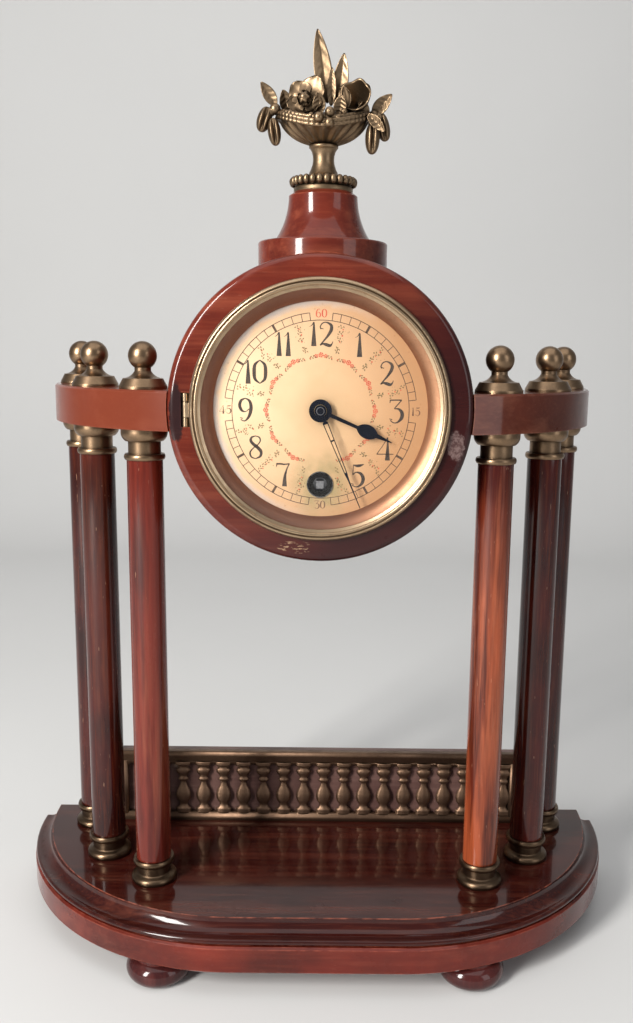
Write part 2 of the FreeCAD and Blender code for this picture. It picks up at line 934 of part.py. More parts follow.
def moving_knuckle(axis, out, seat_radius, lug_start):
    """The cover's knuckle with its bore, and the lug that joins it to the cover."""
    x, y = axis
    z = drum_centre_height
    barrel = rod_z(x, y, knuckle_radius, z - knuckle_length / 2, z + knuckle_length / 2)
    lug_ys = (lug_start, lug_start + lug_thickness)
    lug_xs = sorted((x, out * (seat_radius - hinge_offset / 2)))
    lug = block(lug_xs[0], lug_xs[1], lug_ys[0], lug_ys[1], z - lug_half_height, z + lug_half_height)
    bore = rod_z(x, y, hinge_pin_radius + running_fit, z - knuckle_length, z + knuckle_length)
    return barrel.fuse(lug).cut(bore)


shapes["bezel_hinge"] = fixed_leaf(bezel_hinge_axis, -1, drum_front_bore, drum_front_y, 1)
shapes["back_door_hinge"] = fixed_leaf(door_hinge_axis, 1, door_radius, drum_back_y, -1)

# Bezel, glass and sight ring


def front(depth):
    """A place that far behind the drum's front face."""
    return drum_front_y + depth


tube_radius = drum_front_bore - wood_fit
glass_radius = tube_radius - bezel_tube_wall
bezel_profile = [
    (tube_radius, front(bezel_tube_depth)),
    (tube_radius, front(0)),
    (bezel_radius, front(0)),
    (bezel_radius, front(-bezel_edge_rise)),
    (
        (bezel_radius + bezel_roll_radius) / 2 + bezel_edge_rise / 4,
        front(-(bezel_edge_rise + bezel_rise) / 2 - bezel_edge_rise / 2),
        bezel_roll_radius,
        front(-bezel_rise),
    ),
    (bezel_groove_radius, front(-bezel_groove_rise)),
    (bezel_ridge_radius, front(-bezel_rise), bezel_shoulder_radius, front(-bezel_shoulder_rise)),
    (bezel_lip_radius, front(-bezel_lip_rise)),
    (bezel_lip_radius, front(-glass_seat_rise)),
    (glass_radius, front(-glass_seat_rise)),
    (glass_radius, front(bezel_tube_depth)),
]
bezel = turned_y(bezel_profile)
bezel_lug_y = front(-knuckle_gap / 2) - lug_thickness
bezel_knuckle = moving_knuckle(bezel_hinge_axis, -1, bezel_radius, bezel_lug_y)
shapes["bezel"] = joined(bezel, bezel_knuckle)
shapes["bezel_glass"] = rod_y(
    drum_axis, glass_radius - pin_fit, front(-glass_seat_rise), front(glass_thickness - glass_seat_rise)
)

ring_span_r = ring_front_radius - dial_sight_radius
ring_span_y = dial_depth - ring_front_depth
ring_profile = [
    (ring_front_radius, front(ring_front_depth)),
    (ring_front_radius + ring_wall, front(ring_front_depth + ring_wall)),
    (dial_sight_radius + 2 * ring_wall, front(dial_depth)),
    (dial_sight_radius, front(dial_depth)),
    (dial_sight_radius, front(dial_depth - ring_wall)),
    (
        dial_sight_radius + ring_span_r * (0.5 - ring_bulge_share),
        front(ring_front_depth + ring_span_y * (0.5 - ring_bulge_share)),
        ring_front_radius,
        front(ring_front_depth),
    ),
]
shapes["dial_ring"] = turned_y(ring_profile)

# Dial

dial = rod_y(drum_axis, dial_radius, dial_front_y, dial_back_y)
dial = dial.cut(rod_y(drum_axis, dial_hole_radius, dial_front_y - overrun, dial_back_y + overrun))
dial = dial.cut(rod_y(winding_axis, grommet_hole_radius, dial_front_y - overrun, dial_back_y + overrun))
for degrees in dial_foot_angles:
    place = around(drum_axis, dial_foot_circle, degrees)
    dial = dial.fuse(rod_y(place, dial_foot_radius, dial_back_y, front_plate_back))
shapes["dial"] = dial.removeSplitter()

grommet_front = dial_front_y - grommet_flange_rise
grommet_profile = [
    (grommet_bore_radius, dial_front_y),
    (grommet_mouth_radius, grommet_front),
    (grommet_flange_radius, grommet_front),
    (grommet_flange_radius, dial_front_y),
    (grommet_hole_radius, dial_front_y),
    (grommet_hole_radius, dial_back_y + grommet_flange_rise),
    (grommet_bore_radius, dial_back_y + grommet_flange_rise),
]
shapes["winding_grommet"] = turned_y(grommet_profile, winding_axis)

# Hands. Each is drawn pointing at 12 and then turned to its place


def hour_blade():
    right = [
        (hour_shank_half_width, 0.0),
        (hour_shank_half_width * hour_waist_share, hour_pear_start),
        (hour_pear_half_width, hour_pear_middle, hour_point_half_width, hour_pear_end),
        (hand_tip_half_width, hour_hand_length),
    ]
    left = [
        (-hand_tip_half_width, hour_hand_length),
        (-hour_point_half_width, hour_pear_end),
        (-hour_pear_half_width, hour_pear_middle, -hour_shank_half_width * hour_waist_share, hour_pear_start),
        (-hour_shank_half_width, 0.0),
    ]
    y0 = front(hour_hand_depth)
    return flat_y(right + left, y0, y0 + hour_hand_thickness, drum_axis)


hour_boss_front = front(hour_hand_depth) - (hour_boss_thickness - hour_hand_thickness) / 2
hour_boss = rod_y(drum_axis, hour_boss_radius, hour_boss_front, hour_boss_front + hour_boss_thickness)
hour_hand = joined(hour_blade(), hour_boss)
hour_hand = hour_hand.cut(rod_y(drum_axis, hour_pipe_radius, front(0), dial_back_y))
shapes["hour_hand"] = turned_about(hour_hand, drum_axis, -hour_hand_angle)


def minute_blade():
    y0 = front(minute_hand_depth)
    y1 = y0 + minute_hand_thickness
    outer = [
        (minute_stem_half_width, 0.0),
        (minute_stem_half_width, minute_bar_start - minute_cross_width),
        (minute_bar_half_width, minute_bar_start),
        (minute_bar_end_half_width, minute_bar_end),
        (hand_tip_half_width * 2, minute_bar_end + minute_bar_half_width * 2),
        (hand_tip_half_width, minute_hand_length),
    ]
    blade = flat_y(outer + [(-x, z) for x, z in reversed(outer)], y0, y1, drum_axis)
    low = minute_bar_start + minute_cross_width
    high = minute_bar_end - minute_cross_width
    windows = (
        (low, minute_cross_at - minute_cross_width / 2),
        (minute_cross_at + minute_cross_width / 2, high),
    )
    taper = (minute_bar_half_width - minute_bar_end_half_width) / (minute_bar_end - minute_bar_start)
    for z0, z1 in windows:
        w0 = minute_bar_half_width - (z0 - minute_bar_start) * taper - minute_rail_width
        w1 = minute_bar_half_width - (z1 - minute_bar_start) * taper - minute_rail_width
        hole = flat_y([(-w0, z0), (w0, z0), (w1, z1), (-w1, z1)], y0 - overrun, y1 + overrun, drum_axis)
        blade = blade.cut(hole)
    return blade


minute_boss_front = front(minute_hand_depth) - (minute_boss_thickness - minute_hand_thickness) / 2
minute_boss_back = minute_boss_front + minute_boss_thickness
minute_boss = rod_y(drum_axis, minute_boss_radius, minute_boss_front, minute_boss_back)
minute_hand = joined(minute_blade(), minute_boss)
minute_hand = minute_hand.cut(rod_y(drum_axis, cannon_radius, front(-overrun), dial_front_y))
shapes["minute_hand"] = turned_about(minute_hand, drum_axis, -minute_hand_angle)

nut_front = minute_boss_front - hand_nut_height
cannon_bore = centre_front_radius + running_fit
hand_nut = rod_y(drum_axis, hand_nut_radius, nut_front, minute_boss_front)
hand_stub = rod_y(drum_axis, cannon_bore, minute_boss_front, minute_boss_front + minute_hand_thickness)
hand_end = rod_y(drum_axis, hand_pin_radius, nut_front - hand_pin_height, nut_front)
shapes["hand_nut"] = joined(hand_nut, hand_stub, hand_end)

# Back door: a dished brass cover with a small knob

door_front_y = door_outer_y - door_thickness
dome_middle = door_dome_radius * door_dome_shares[0]
dome_middle_rise = door_dome_rise * door_dome_shares[1]
door_profile = [
    (0.0, door_outer_y + door_dome_rise),
    (dome_middle, door_outer_y + dome_middle_rise, door_dome_radius, door_outer_y),
    (door_radius, door_outer_y),
    (door_radius, door_front_y),
    (door_dome_radius - door_thickness, door_front_y),
    (
        dome_middle - door_thickness,
        door_front_y + dome_middle_rise - door_thickness / 4,
        0.0,
        door_outer_y + door_dome_rise - door_thickness,
    ),
]
door_turned = turned_y(door_profile)
knob_axis = (-door_knob_offset, drum_centre_height)
knob = rod_y(knob_axis, door_knob_radius, door_front_y + pin_fit, door_outer_y + door_knob_height)
door_knuckle = moving_knuckle(door_hinge_axis, 1, door_radius, drum_back_y - lug_thickness)
shapes["back_door"] = joined(door_turned, knob, door_knuckle)

# Movement: where the arbors stand


def pair_distance(module, teeth, leaves):
    return module * (teeth + leaves) / 2


great_distance = pair_distance(great_module, great_teeth, intermediate_leaves)
intermediate_distance = pair_distance(intermediate_module, intermediate_teeth, centre_leaves)
drop = (intermediate_distance ** 2 - great_distance ** 2 + winding_drop ** 2) / (2 * winding_drop)
aside = math.sqrt(intermediate_distance ** 2 - drop ** 2)
intermediate_axis = (intermediate_side * aside, drum_centre_height - drop)
third_axis = around(drum_axis, pair_distance(centre_module, centre_teeth, third_leaves), third_angle)
fourth_axis = around(third_axis, pair_distance(third_module, third_teeth, fourth_leaves), fourth_angle)
escape_axis = around(fourth_axis, pair_distance(fourth_module, fourth_teeth, escape_leaves), escape_angle)
pallet_axis = around(escape_axis, pallet_distance, pallet_angle)
balance_axis = around(pallet_axis, balance_distance, balance_angle)
minute_axis = around(drum_axis, pair_distance(motion_module, minute_teeth, cannon_leaves), minute_wheel_angle)
hour_module = 2 * pair_distance(motion_module, minute_teeth, cannon_leaves) / (minute_leaves + hour_teeth)


def direction(start, end):
    return math.atan2(end[1] - start[1], end[0] - start[0])


def mesh_phase(start, end, teeth, own_teeth, phase=0.0):
    """The phase that puts a gear at end in mesh with a gear at start, whose phase is given."""
    line = direction(start, end)
    return line + math.pi - ((phase - line) * teeth + math.pi) / own_teeth


def gear(axis, teeth, module, y0, y1, phase=0.0):
    """A toothed disc. Each tooth is thin, so that a pair runs free at every turn."""
    pitch_radius = module * teeth / 2
    tip = pitch_radius + addendum_share * module
    root = pitch_radius - dedendum_share * module
    pitch = 2 * math.pi / teeth
    flanks = ((root, tooth_root_share), (pitch_radius, tooth_pitch_share), (tip, tooth_tip_share))
    points = []
    for index in range(teeth):
        middle = phase + index * pitch
        for radius, share in flanks:
            turn = middle - share * pitch / 2
            points.append((radius * math.cos(turn), radius * math.sin(turn)))
        for radius, share in reversed(flanks):
            turn = middle + share * pitch / 2
            points.append((radius * math.cos(turn), radius * math.sin(turn)))
    return flat_y(points, y0, y1, axis)


def crossings(axis, rim, hub, y0, y1, count=spokes, width=spoke_width):
    """The open windows between the spokes of a wheel."""
    windows = rod_y(axis, rim, y0 - overrun, y1 + overrun)
    windows = windows.cut(rod_y(axis, hub, y0 - 2 * overrun, y1 + 2 * overrun))
    for index in range(count):
        bar = block(axis[0], axis[0] + rim + overrun, y0 - 2 * overrun, y1 + 2 * overrun,
                    axis[1] - width / 2, axis[1] + width / 2)
        windows = windows.cut(turned_about(bar, axis, 360.0 / count * index))
    return windows


def crossed_wheel(axis, teeth, module, y0):
    y1 = y0 + wheel_thickness
    rim = (module * teeth / 2 - dedendum_share * module) * rim_share
    return gear(axis, teeth, module, y0, y1).cut(crossings(axis, rim, hub_radius, y0, y1))


def level(depth):
    """A place that far behind the front plate's back face, between the plates."""
    return front_plate_back + depth


def arbor(axis, radius=arbor_radius):
    """A shaft between the plates, with a pivot in each."""
    body = rod_y(axis, radius, front_plate_back + end_shake, back_plate_front - end_shake)
    pivots = rod_y(axis, pivot_radius, front_plate_front, back_plate_back)
    return body.fuse(pivots)


def leaf_pinion(axis, leaves, module, y0, phase, length=leaf_length):
    return gear(axis, leaves, module, y0, y0 + length, phase)


great_y = level(barrel_start + barrel_height - wheel_thickness)
great_wheel = gear(winding_axis, great_teeth, great_module, great_y, great_y + wheel_thickness)
barrel_body = rod_y(winding_axis, barrel_radius, level(barrel_start), great_y + wheel_thickness)
barrel_hollow = rod_y(
    winding_axis,
    barrel_radius - barrel_wall,
    level(barrel_start + barrel_floor),
    level(barrel_start + barrel_height - barrel_floor),
)
barrel_bore = rod_y(winding_axis, winding_arbor_radius + running_fit, level(0), back_plate_front)
barrel = joined(great_wheel, barrel_body).cut(barrel_hollow).cut(barrel_bore)
shapes["spring_barrel"] = barrel

intermediate_phase = mesh_phase(winding_axis, intermediate_axis, great_teeth, intermediate_leaves)
intermediate_y = level(intermediate_wheel_level)
intermediate = joined(
    arbor(intermediate_axis),
    crossed_wheel(intermediate_axis, intermediate_teeth, intermediate_module, intermediate_y),
    leaf_pinion(intermediate_axis, intermediate_leaves, great_module,
                level(intermediate_leaf_level), intermediate_phase),
)
shapes["intermediate_wheel"] = intermediate

centre_phase = mesh_phase(intermediate_axis, drum_axis, intermediate_teeth, centre_leaves)
cannon_front = minute_boss_front
centre_tip = cannon_front + minute_hand_thickness + end_shake
centre_leaf_y = level(intermediate_wheel_level + wheel_thickness / 2 - leaf_length / 2)
centre_body = rod_y(drum_axis, centre_arbor_radius, front_plate_front, back_plate_front - end_shake)
centre_front = rod_y(drum_axis, centre_front_radius, centre_tip, front_plate_front)
centre_pivot = rod_y(drum_axis, pivot_radius, back_plate_front - end_shake, back_plate_back)
centre = joined(
    centre_body,
    centre_front,
    centre_pivot,
    crossed_wheel(drum_axis, centre_teeth, centre_module, level(centre_wheel_level)),
    leaf_pinion(drum_axis, centre_leaves, intermediate_module, centre_leaf_y, centre_phase),
)
shapes["centre_wheel"] = centre


def train_wheel(axis, last_axis, last_teeth, last_level, leaves, last_module, teeth, module, own_level):
    """An arbor whose pinion meshes with the wheel before it, and which carries its own wheel."""
    leaf_y = level(last_level + wheel_thickness / 2 - leaf_length / 2)
    phase = mesh_phase(last_axis, axis, last_teeth, leaves)
    pinion = leaf_pinion(axis, leaves, last_module, leaf_y, phase)
    return joined(arbor(axis), crossed_wheel(axis, teeth, module, level(own_level)), pinion)


shapes["third_wheel"] = train_wheel(
    third_axis, drum_axis, centre_teeth, centre_wheel_level,
    third_leaves, centre_module, third_teeth, third_module, third_wheel_level,
)
shapes["fourth_wheel"] = train_wheel(
    fourth_axis, third_axis, third_teeth, third_wheel_level,
    fourth_leaves, third_module, fourth_teeth, fourth_module, fourth_wheel_level,
)


def saw_wheel(axis, teeth, tip, root, y0, y1, lean):
    """A wheel of pointed teeth that lean one way, for the escapement and the ratchet."""
    pitch = 2 * math.pi / teeth
    points = []
    for index in range(teeth):
        start = lean * index * pitch
        points.append((root * math.cos(start), root * math.sin(start)))
        peak = start + lean * pitch * saw_peak_share
        points.append((tip * math.cos(peak), tip * math.sin(peak)))
        fall = start + lean * pitch * saw_fall_share
        points.append((tip * math.cos(fall), tip * math.sin(fall)))
    if lean < 0:
        points.reverse()
    return flat_y(points, y0, y1, axis)


escape_y = level(escape_wheel_level)
escape_rim = escape_radius * escape_root_share * rim_share
escape_disc = saw_wheel(
    escape_axis, escape_teeth, escape_radius, escape_radius * escape_root_share,
    escape_y, escape_y + pallet_thickness, 1,
)
escape_back = escape_y + pallet_thickness
escape_windows = crossings(
    escape_axis, escape_rim, arbor_radius * 2, escape_y, escape_back, spokes, arbor_radius
)
escape_disc = escape_disc.cut(escape_windows)
escape_phase = mesh_phase(fourth_axis, escape_axis, fourth_teeth, escape_leaves)
escape_leaf_y = level(fourth_wheel_level + wheel_thickness / 2 - leaf_length / 2)
escape_arbor = arbor(escape_axis, fine_arbor_radius)
escape_pinion = leaf_pinion(escape_axis, escape_leaves, fourth_module, escape_leaf_y, escape_phase)
shapes["escape_wheel"] = joined(escape_arbor, escape_disc, escape_pinion)

# Lever with its two pins and fork

pin_to_escape = escape_radius + pallet_pin_gap
along = (pallet_distance ** 2 + pin_to_escape ** 2 - pallet_pin_reach ** 2) / (2 * pallet_distance)
across = math.sqrt(pin_to_escape ** 2 - along ** 2)
pallet_y0 = level(pallet_level)
pallet_y1 = pallet_y0 + pallet_thickness
back_turn = math.radians(pallet_angle)


def pallet_pin_place(side):
    x = escape_axis[0] + along * math.cos(back_turn) - side * across * math.sin(back_turn)
    z = escape_axis[1] + along * math.sin(back_turn) + side * across * math.cos(back_turn)
    return (x, z)


def bar_y(start, end, half_width, y0, y1):
    """A flat bar between two places."""
    length = math.hypot(end[0] - start[0], end[1] - start[1])
    bar = block(start[0], start[0] + length, y0, y1, start[1] - half_width, start[1] + half_width)
    return turned_about(bar, start, math.degrees(direction(start, end)))


fork_end = around(pallet_axis, lever_length, balance_angle)
fork_start = around(pallet_axis, lever_length - 2 * fork_slot_depth, balance_angle)
slot_start = around(pallet_axis, lever_length - fork_slot_depth, balance_angle)
slot_end = around(pallet_axis, lever_length + fork_slot_depth, balance_angle)
lever = joined(
    rod_y(pallet_axis, lever_half_width * 2, pallet_y0, pallet_y1),
    bar_y(pallet_axis, fork_end, lever_half_width, pallet_y0, pallet_y1),
    bar_y(fork_start, fork_end, fork_half_width, pallet_y0, pallet_y1),
    bar_y(pallet_axis, pallet_pin_place(1), lever_half_width, pallet_y0, pallet_y1),
    bar_y(pallet_axis, pallet_pin_place(-1), lever_half_width, pallet_y0, pallet_y1),
    rod_y(pallet_pin_place(1), pallet_pin_radius, pallet_y0, pallet_y1 + pallet_pin_length),
    rod_y(pallet_pin_place(-1), pallet_pin_radius, pallet_y0, pallet_y1 + pallet_pin_length),
    arbor(pallet_axis, fine_arbor_radius),
)
lever_slot = bar_y(slot_start, slot_end, fork_slot_half_width, pallet_y0 - overrun, pallet_y1 + overrun)
shapes["pallet_lever"] = lever.cut(lever_slot)

# Balance wheel with its staff, roller and impulse pin

cock_back = back_plate_back + cock_thickness
rim_y0 = level(balance_level)
rim_y1 = rim_y0 + balance_rim_height
rim_middle = (rim_y0 + rim_y1) / 2
rim_inner = balance_radius - balance_rim_width
rim_profile = [(rim_inner, rim_y0), (balance_radius, rim_y0), (balance_radius, rim_y1), (rim_inner, rim_y1)]
roller_y = level(roller_level)
impulse_place = around(balance_axis, impulse_pin_circle, balance_angle + 180.0)
arm_ends = [around(balance_axis, balance_radius - balance_rim_width / 2, turn) for turn in (100.0, 280.0)]
balance = joined(
    turned_y(rim_profile, balance_axis),
    bar_y(arm_ends[0], arm_ends[1], balance_arm_width / 2, rim_y0, rim_middle),
    rod_y(balance_axis, balance_hub_radius, rim_y0, rim_y1),
    rod_y(balance_axis, balance_staff_radius, front_plate_back + end_shake, back_plate_back - end_shake),
    rod_y(balance_axis, balance_pivot_radius, front_plate_front, cock_back),
    rod_y(balance_axis, roller_radius, roller_y, roller_y + roller_thickness),
    rod_y(impulse_place, impulse_pin_radius, roller_y, pallet_y1 + pallet_thickness / 2),
)
shapes["balance_wheel"] = balance


def spiral_strip(axis, inner, pitch, turns, thickness, y0, y1, start=0.0):
    """A wound strip: half turns of growing radius, thick as given, from y0 to y1."""
    def half_turns(offset):
        points = []
        for index in range(2 * turns + 1):
            radius = inner + pitch * index / 2 + offset
            angle = start + math.pi * index
            if index:
                mid_radius = radius - pitch / 4
                mid = angle - math.pi / 2
                points.append((mid_radius * math.cos(mid), mid_radius * math.sin(mid),
                               radius * math.cos(angle), radius * math.sin(angle)))
            else:
                points.append((radius * math.cos(angle), radius * math.sin(angle)))
        return points

    outside = half_turns(thickness)
    inside = half_turns(0.0)
    back = [inside[-1][-2:]]
    for index in range(len(inside) - 1, 0, -1):
        back.append(inside[index][:2] + inside[index - 1][-2:])
    return flat_y(outside + back, y0, y1, axis)


hairspring_y0 = level(hairspring_level)
hairspring_y1 = hairspring_y0 + hairspring_height
collet = rod_y(balance_axis, hairspring_collet_radius, hairspring_y0, hairspring_y1)
collet_neck = bar_y(
    balance_axis,
    around(balance_axis, hairspring_inner_radius + hairspring_thickness, cock_foot_angle),
    hairspring_thickness * 2,
    hairspring_y0,
    hairspring_y1,
)
collet = joined(collet, collet_neck)
staff_space = rod_y(balance_axis, balance_staff_radius, hairspring_y0 - overrun, hairspring_y1 + overrun)
collet = collet.cut(staff_space)
hairspring_strip = spiral_strip(
    balance_axis, hairspring_inner_radius, hairspring_pitch, hairspring_turns, hairspring_thickness,
    hairspring_y0, hairspring_y1, math.radians(cock_foot_angle),
)
shapes["hairspring"] = joined(hairspring_strip, collet)

mainspring_outer = barrel_radius - barrel_wall - mainspring_thickness - pin_fit
mainspring_pitch = (mainspring_outer - mainspring_inner_radius) / mainspring_turns
mainspring_y0 = level(barrel_start + (barrel_height - mainspring_height) / 2)
shapes["mainspring"] = spiral_strip(
    winding_axis, mainspring_inner_radius, mainspring_pitch, mainspring_turns, mainspring_thickness,
    mainspring_y0, mainspring_y0 + mainspring_height,
)

# Winding arbor and ratchet wheel


def square_y(axis, side, y0, y1):
    half = side / 2
    return block(axis[0] - half, axis[0] + half, y0, y1, axis[1] - half, axis[1] + half)


square_back = front_plate_front - winding_square_start
winding_core = rod_y(
    winding_axis, winding_core_radius,
    level(barrel_start + barrel_floor + end_shake),
    level(barrel_start + barrel_height - barrel_floor - end_shake),
)
core_shoulder = rod_y(winding_axis, winding_arbor_radius, square_back, back_plate_back + overrun)
winding_front = square_y(winding_axis, winding_square, front(winding_square_depth), square_back)
shapes["winding_arbor"] = joined(winding_core, core_shoulder, winding_front)

ratchet_y0 = front_plate_front - ratchet_level
ratchet_y1 = ratchet_y0 + ratchet_thickness
ratchet = saw_wheel(
    winding_axis, ratchet_teeth, ratchet_radius, ratchet_radius * ratchet_root_share,
    ratchet_y0, ratchet_y1, -1,
)
ratchet_hole = square_y(winding_axis, winding_square, ratchet_y0 - overrun, ratchet_y1 + overrun)
shapes["ratchet_wheel"] = ratchet.cut(ratchet_hole)

# Click and click spring

click_axis = around(winding_axis, click_distance, click_angle)
click_y0 = ratchet_y0
click_y1 = click_y0 + click_thickness
nose_distance = ratchet_radius + click_nose_gap + click_nose_half_width
nose_place = around(winding_axis, nose_distance, click_angle + click_nose_turn)
tail_place = around(click_axis, click_tail_length, click_angle - click_tail_turn)
click = joined(
    rod_y(click_axis, click_radius, click_y0, click_y1),
    bar_y(click_axis, nose_place, click_nose_half_width, click_y0, click_y1),
    rod_y(nose_place, click_nose_half_width, click_y0, click_y1),
    bar_y(click_axis, tail_place, click_nose_half_width, click_y0, click_y1),
)
click = click.cut(rod_y(click_axis, stud_radius + running_fit, click_y0 - overrun, click_y1 + overrun))
shapes["click"] = click

spring_shift = click_nose_half_width + click_spring_gap + click_spring_thickness / 2
spring_start = around(tail_place, spring_shift, click_angle - click_tail_turn - 90.0)
spring_end = around(spring_start, click_spring_length, click_angle - click_tail_turn)
post_low = front_plate_front
click_spring = joined(
    bar_y(spring_start, spring_end, click_spring_thickness / 2, click_y0, click_y1),
    rod_y(spring_end, click_spring_post_radius, click_y0, post_low),
)
shapes["click_spring"] = click_spring

# Motion work in front of the front plate


def before_plate(distance):
    """A place that far in front of the front plate."""
    return front_plate_front - distance


cannon_y0 = before_plate(cannon_leaf_level + cannon_leaf_length)
cannon_y1 = before_plate(cannon_leaf_level)
cannon_gear = gear(drum_axis, cannon_leaves, motion_module, cannon_y0, cannon_y1)
cannon_tube = rod_y(drum_axis, cannon_radius, cannon_front, before_plate(cannon_gap))
cannon_hole = rod_y(drum_axis, cannon_bore, cannon_front - overrun, front_plate_front)
shapes["cannon_pinion"] = joined(cannon_gear, cannon_tube).cut(cannon_hole)

minute_phase = mesh_phase(drum_axis, minute_axis, cannon_leaves, minute_teeth)
minute_y1 = before_plate(minute_wheel_level)
minute_y0 = minute_y1 - wheel_thickness
minute_disc = gear(minute_axis, minute_teeth, motion_module, minute_y0, minute_y1, minute_phase)
hour_y1 = before_plate(hour_wheel_level)
hour_y0 = hour_y1 - wheel_thickness
minute_leaf_y0 = hour_y0 - minute_leaf_gap
minute_pinion = gear(minute_axis, minute_leaves, hour_module, minute_leaf_y0, minute_y0)
minute_bore = rod_y(minute_axis, stud_radius + running_fit, minute_leaf_y0 - overrun, minute_y1 + overrun)
shapes["minute_wheel"] = joined(minute_disc, minute_pinion).cut(minute_bore)

hour_phase = mesh_phase(minute_axis, drum_axis, minute_leaves, hour_teeth)
hour_pipe_front = hour_boss_front
hour_disc = gear(drum_axis, hour_teeth, hour_module, hour_y0, hour_y1, hour_phase)
hour_pipe = rod_y(drum_axis, hour_pipe_radius, hour_pipe_front, hour_y1)
hour_hole = rod_y(drum_axis, cannon_radius + running_fit, hour_pipe_front - overrun, hour_y1 + overrun)
shapes["hour_wheel"] = joined(hour_disc, hour_pipe).cut(hour_hole)

# Plates, pillars and screws


def pivot_hole(axis, radius):
    return rod_y(axis, radius, front_plate_front - overrun, back_plate_back + overrun)


front_plate = rod_y(drum_axis, front_plate_radius, front_plate_front, front_plate_back)
back_plate = rod_y(drum_axis, back_plate_radius, back_plate_front, back_plate_back)
small_pivots = (intermediate_axis, third_axis, fourth_axis, escape_axis, pallet_axis)
for axis in small_pivots:
    hole = pivot_hole(axis, pivot_radius + pin_fit)
    front_plate = front_plate.cut(hole)
    back_plate = back_plate.cut(hole)
front_plate = front_plate.cut(pivot_hole(drum_axis, centre_arbor_radius + pin_fit))
back_plate = back_plate.cut(pivot_hole(drum_axis, pivot_radius + pin_fit))
front_plate = front_plate.cut(pivot_hole(winding_axis, winding_arbor_radius + pin_fit))
back_plate = back_plate.cut(pivot_hole(winding_axis, winding_arbor_radius + pin_fit))
front_plate = front_plate.cut(pivot_hole(balance_axis, balance_pivot_radius + pin_fit))
back_plate = back_plate.cut(pivot_hole(balance_axis, balance_opening_radius))
pillar_places = [around(drum_axis, pillar_circle, degrees) for degrees in pillar_angles]
for place in pillar_places:
    front_plate = front_plate.cut(pivot_hole(place, screw_radius * 2))
    back_plate = back_plate.cut(pivot_hole(place, screw_radius))
for degrees in dial_foot_angles:
    foot_place = around(drum_axis, dial_foot_circle, degrees)
    front_plate = front_plate.cut(pivot_hole(foot_place, dial_foot_radius))
mounting_places = [around(drum_axis, mounting_screw_circle, degrees) for degrees in mounting_screw_angles]
for place in mounting_places:
    front_plate = front_plate.cut(pivot_hole(place, screw_radius))
minute_stud = rod_y(minute_axis, stud_radius, minute_leaf_y0 - end_shake, front_plate_back)
click_stud = rod_y(click_axis, stud_radius, click_y0 - end_shake, front_plate_back)
minute_collar = rod_y(minute_axis, stud_radius * 2, minute_y1 + end_shake, front_plate_front)
click_collar = rod_y(click_axis, stud_radius * 2, click_y1 + end_shake, front_plate_front)
shapes["front_plate"] = joined(front_plate, minute_stud, click_stud, minute_collar, click_collar)

foot_axis = around(balance_axis, cock_foot_distance, cock_foot_angle)
back_plate = back_plate.cut(pivot_hole(foot_axis, screw_radius))
shapes["back_plate"] = back_plate


def pillar(place):
    body = rod_y(place, pillar_radius, front_plate_back, back_plate_front)
    rivet = rod_y(place, screw_radius * 2, front_plate_front, front_plate_back)
    thread = rod_y(place, screw_radius, back_plate_back - screw_length, back_plate_front)
    return joined(body, rivet).cut(thread)


shapes["plate_pillars"] = Part.makeCompound([pillar(place) for place in pillar_places])


def screw(place, seat_y, way):
    """A screw whose head lies on seat_y. way is the side of Y that the head points to."""
    shank_ys = sorted((seat_y, seat_y - way * screw_length))
    head_ys = sorted((seat_y, seat_y + way * screw_head_height))
    shank = rod_y(place, screw_radius, shank_ys[0], shank_ys[1])
    return joined(shank, rod_y(place, screw_head_radius, head_ys[0], head_ys[1]))


screws = [screw(place, back_plate_back, 1) for place in pillar_places]
screws += [screw(place, front_plate_front, -1) for place in mounting_places]
cock_screw = joined(
    rod_y(foot_axis, screw_radius, back_plate_front, cock_back),
    rod_y(foot_axis, screw_head_radius, cock_back, cock_back + screw_head_height),
)
shapes["movement_screws"] = Part.makeCompound(screws + [cock_screw])

# Balance cock with the hairspring stud, and the regulator

stud_distance = hairspring_inner_radius + hairspring_pitch * hairspring_turns + hairspring_thickness / 2
stud_place = around(balance_axis, stud_distance, cock_foot_angle)
cock = joined(
    bar_y(balance_axis, foot_axis, cock_half_width, back_plate_back, cock_back),
    rod_y(foot_axis, cock_foot_radius, back_plate_back, cock_back),
    rod_y(balance_axis, regulator_ring_radius, back_plate_back, cock_back),
    rod_y(balance_axis, cock_boss_radius, cock_back, cock_back + cock_boss_height),
    rod_y(stud_place, hairspring_thickness * 2.5, hairspring_y0, cock_back),
)
cock_cuts = [
    rod_y(balance_axis, balance_pivot_radius + pin_fit, back_plate_back - overrun, cock_back + 2 * overrun),
    rod_y(foot_axis, screw_radius, back_plate_back - overrun, cock_back + overrun),
    shapes["hairspring"],
]
for cut in cock_cuts:
    cock = cock.cut(cut)
shapes["balance_cock"] = cock

regulator_y0 = cock_back + pin_fit
regulator_y1 = regulator_y0 + regulator_thickness
regulator_end = around(balance_axis, regulator_length, regulator_angle)
curb_radius = stud_distance
curb_turn = math.degrees(math.asin(curb_pin_gap / curb_radius))
curb_middle = around(balance_axis, curb_radius, regulator_angle)
curb_places = [
    around(balance_axis, curb_radius + curb_pin_gap, regulator_angle),
    around(balance_axis, curb_radius - hairspring_pitch - curb_pin_gap, regulator_angle),
]
regulator = joined(
    rod_y(balance_axis, regulator_ring_radius, regulator_y0, regulator_y1),
    bar_y(balance_axis, regulator_end, regulator_half_width, regulator_y0, regulator_y1),
    rod_y(curb_places[0], curb_pin_radius, hairspring_y0, regulator_y1),
)
boss_hole_radius = cock_boss_radius + running_fit
regulator_hole = rod_y(balance_axis, boss_hole_radius, regulator_y0 - overrun, regulator_y1 + overrun)
shapes["regulator"] = regulator.cut(regulator_hole)

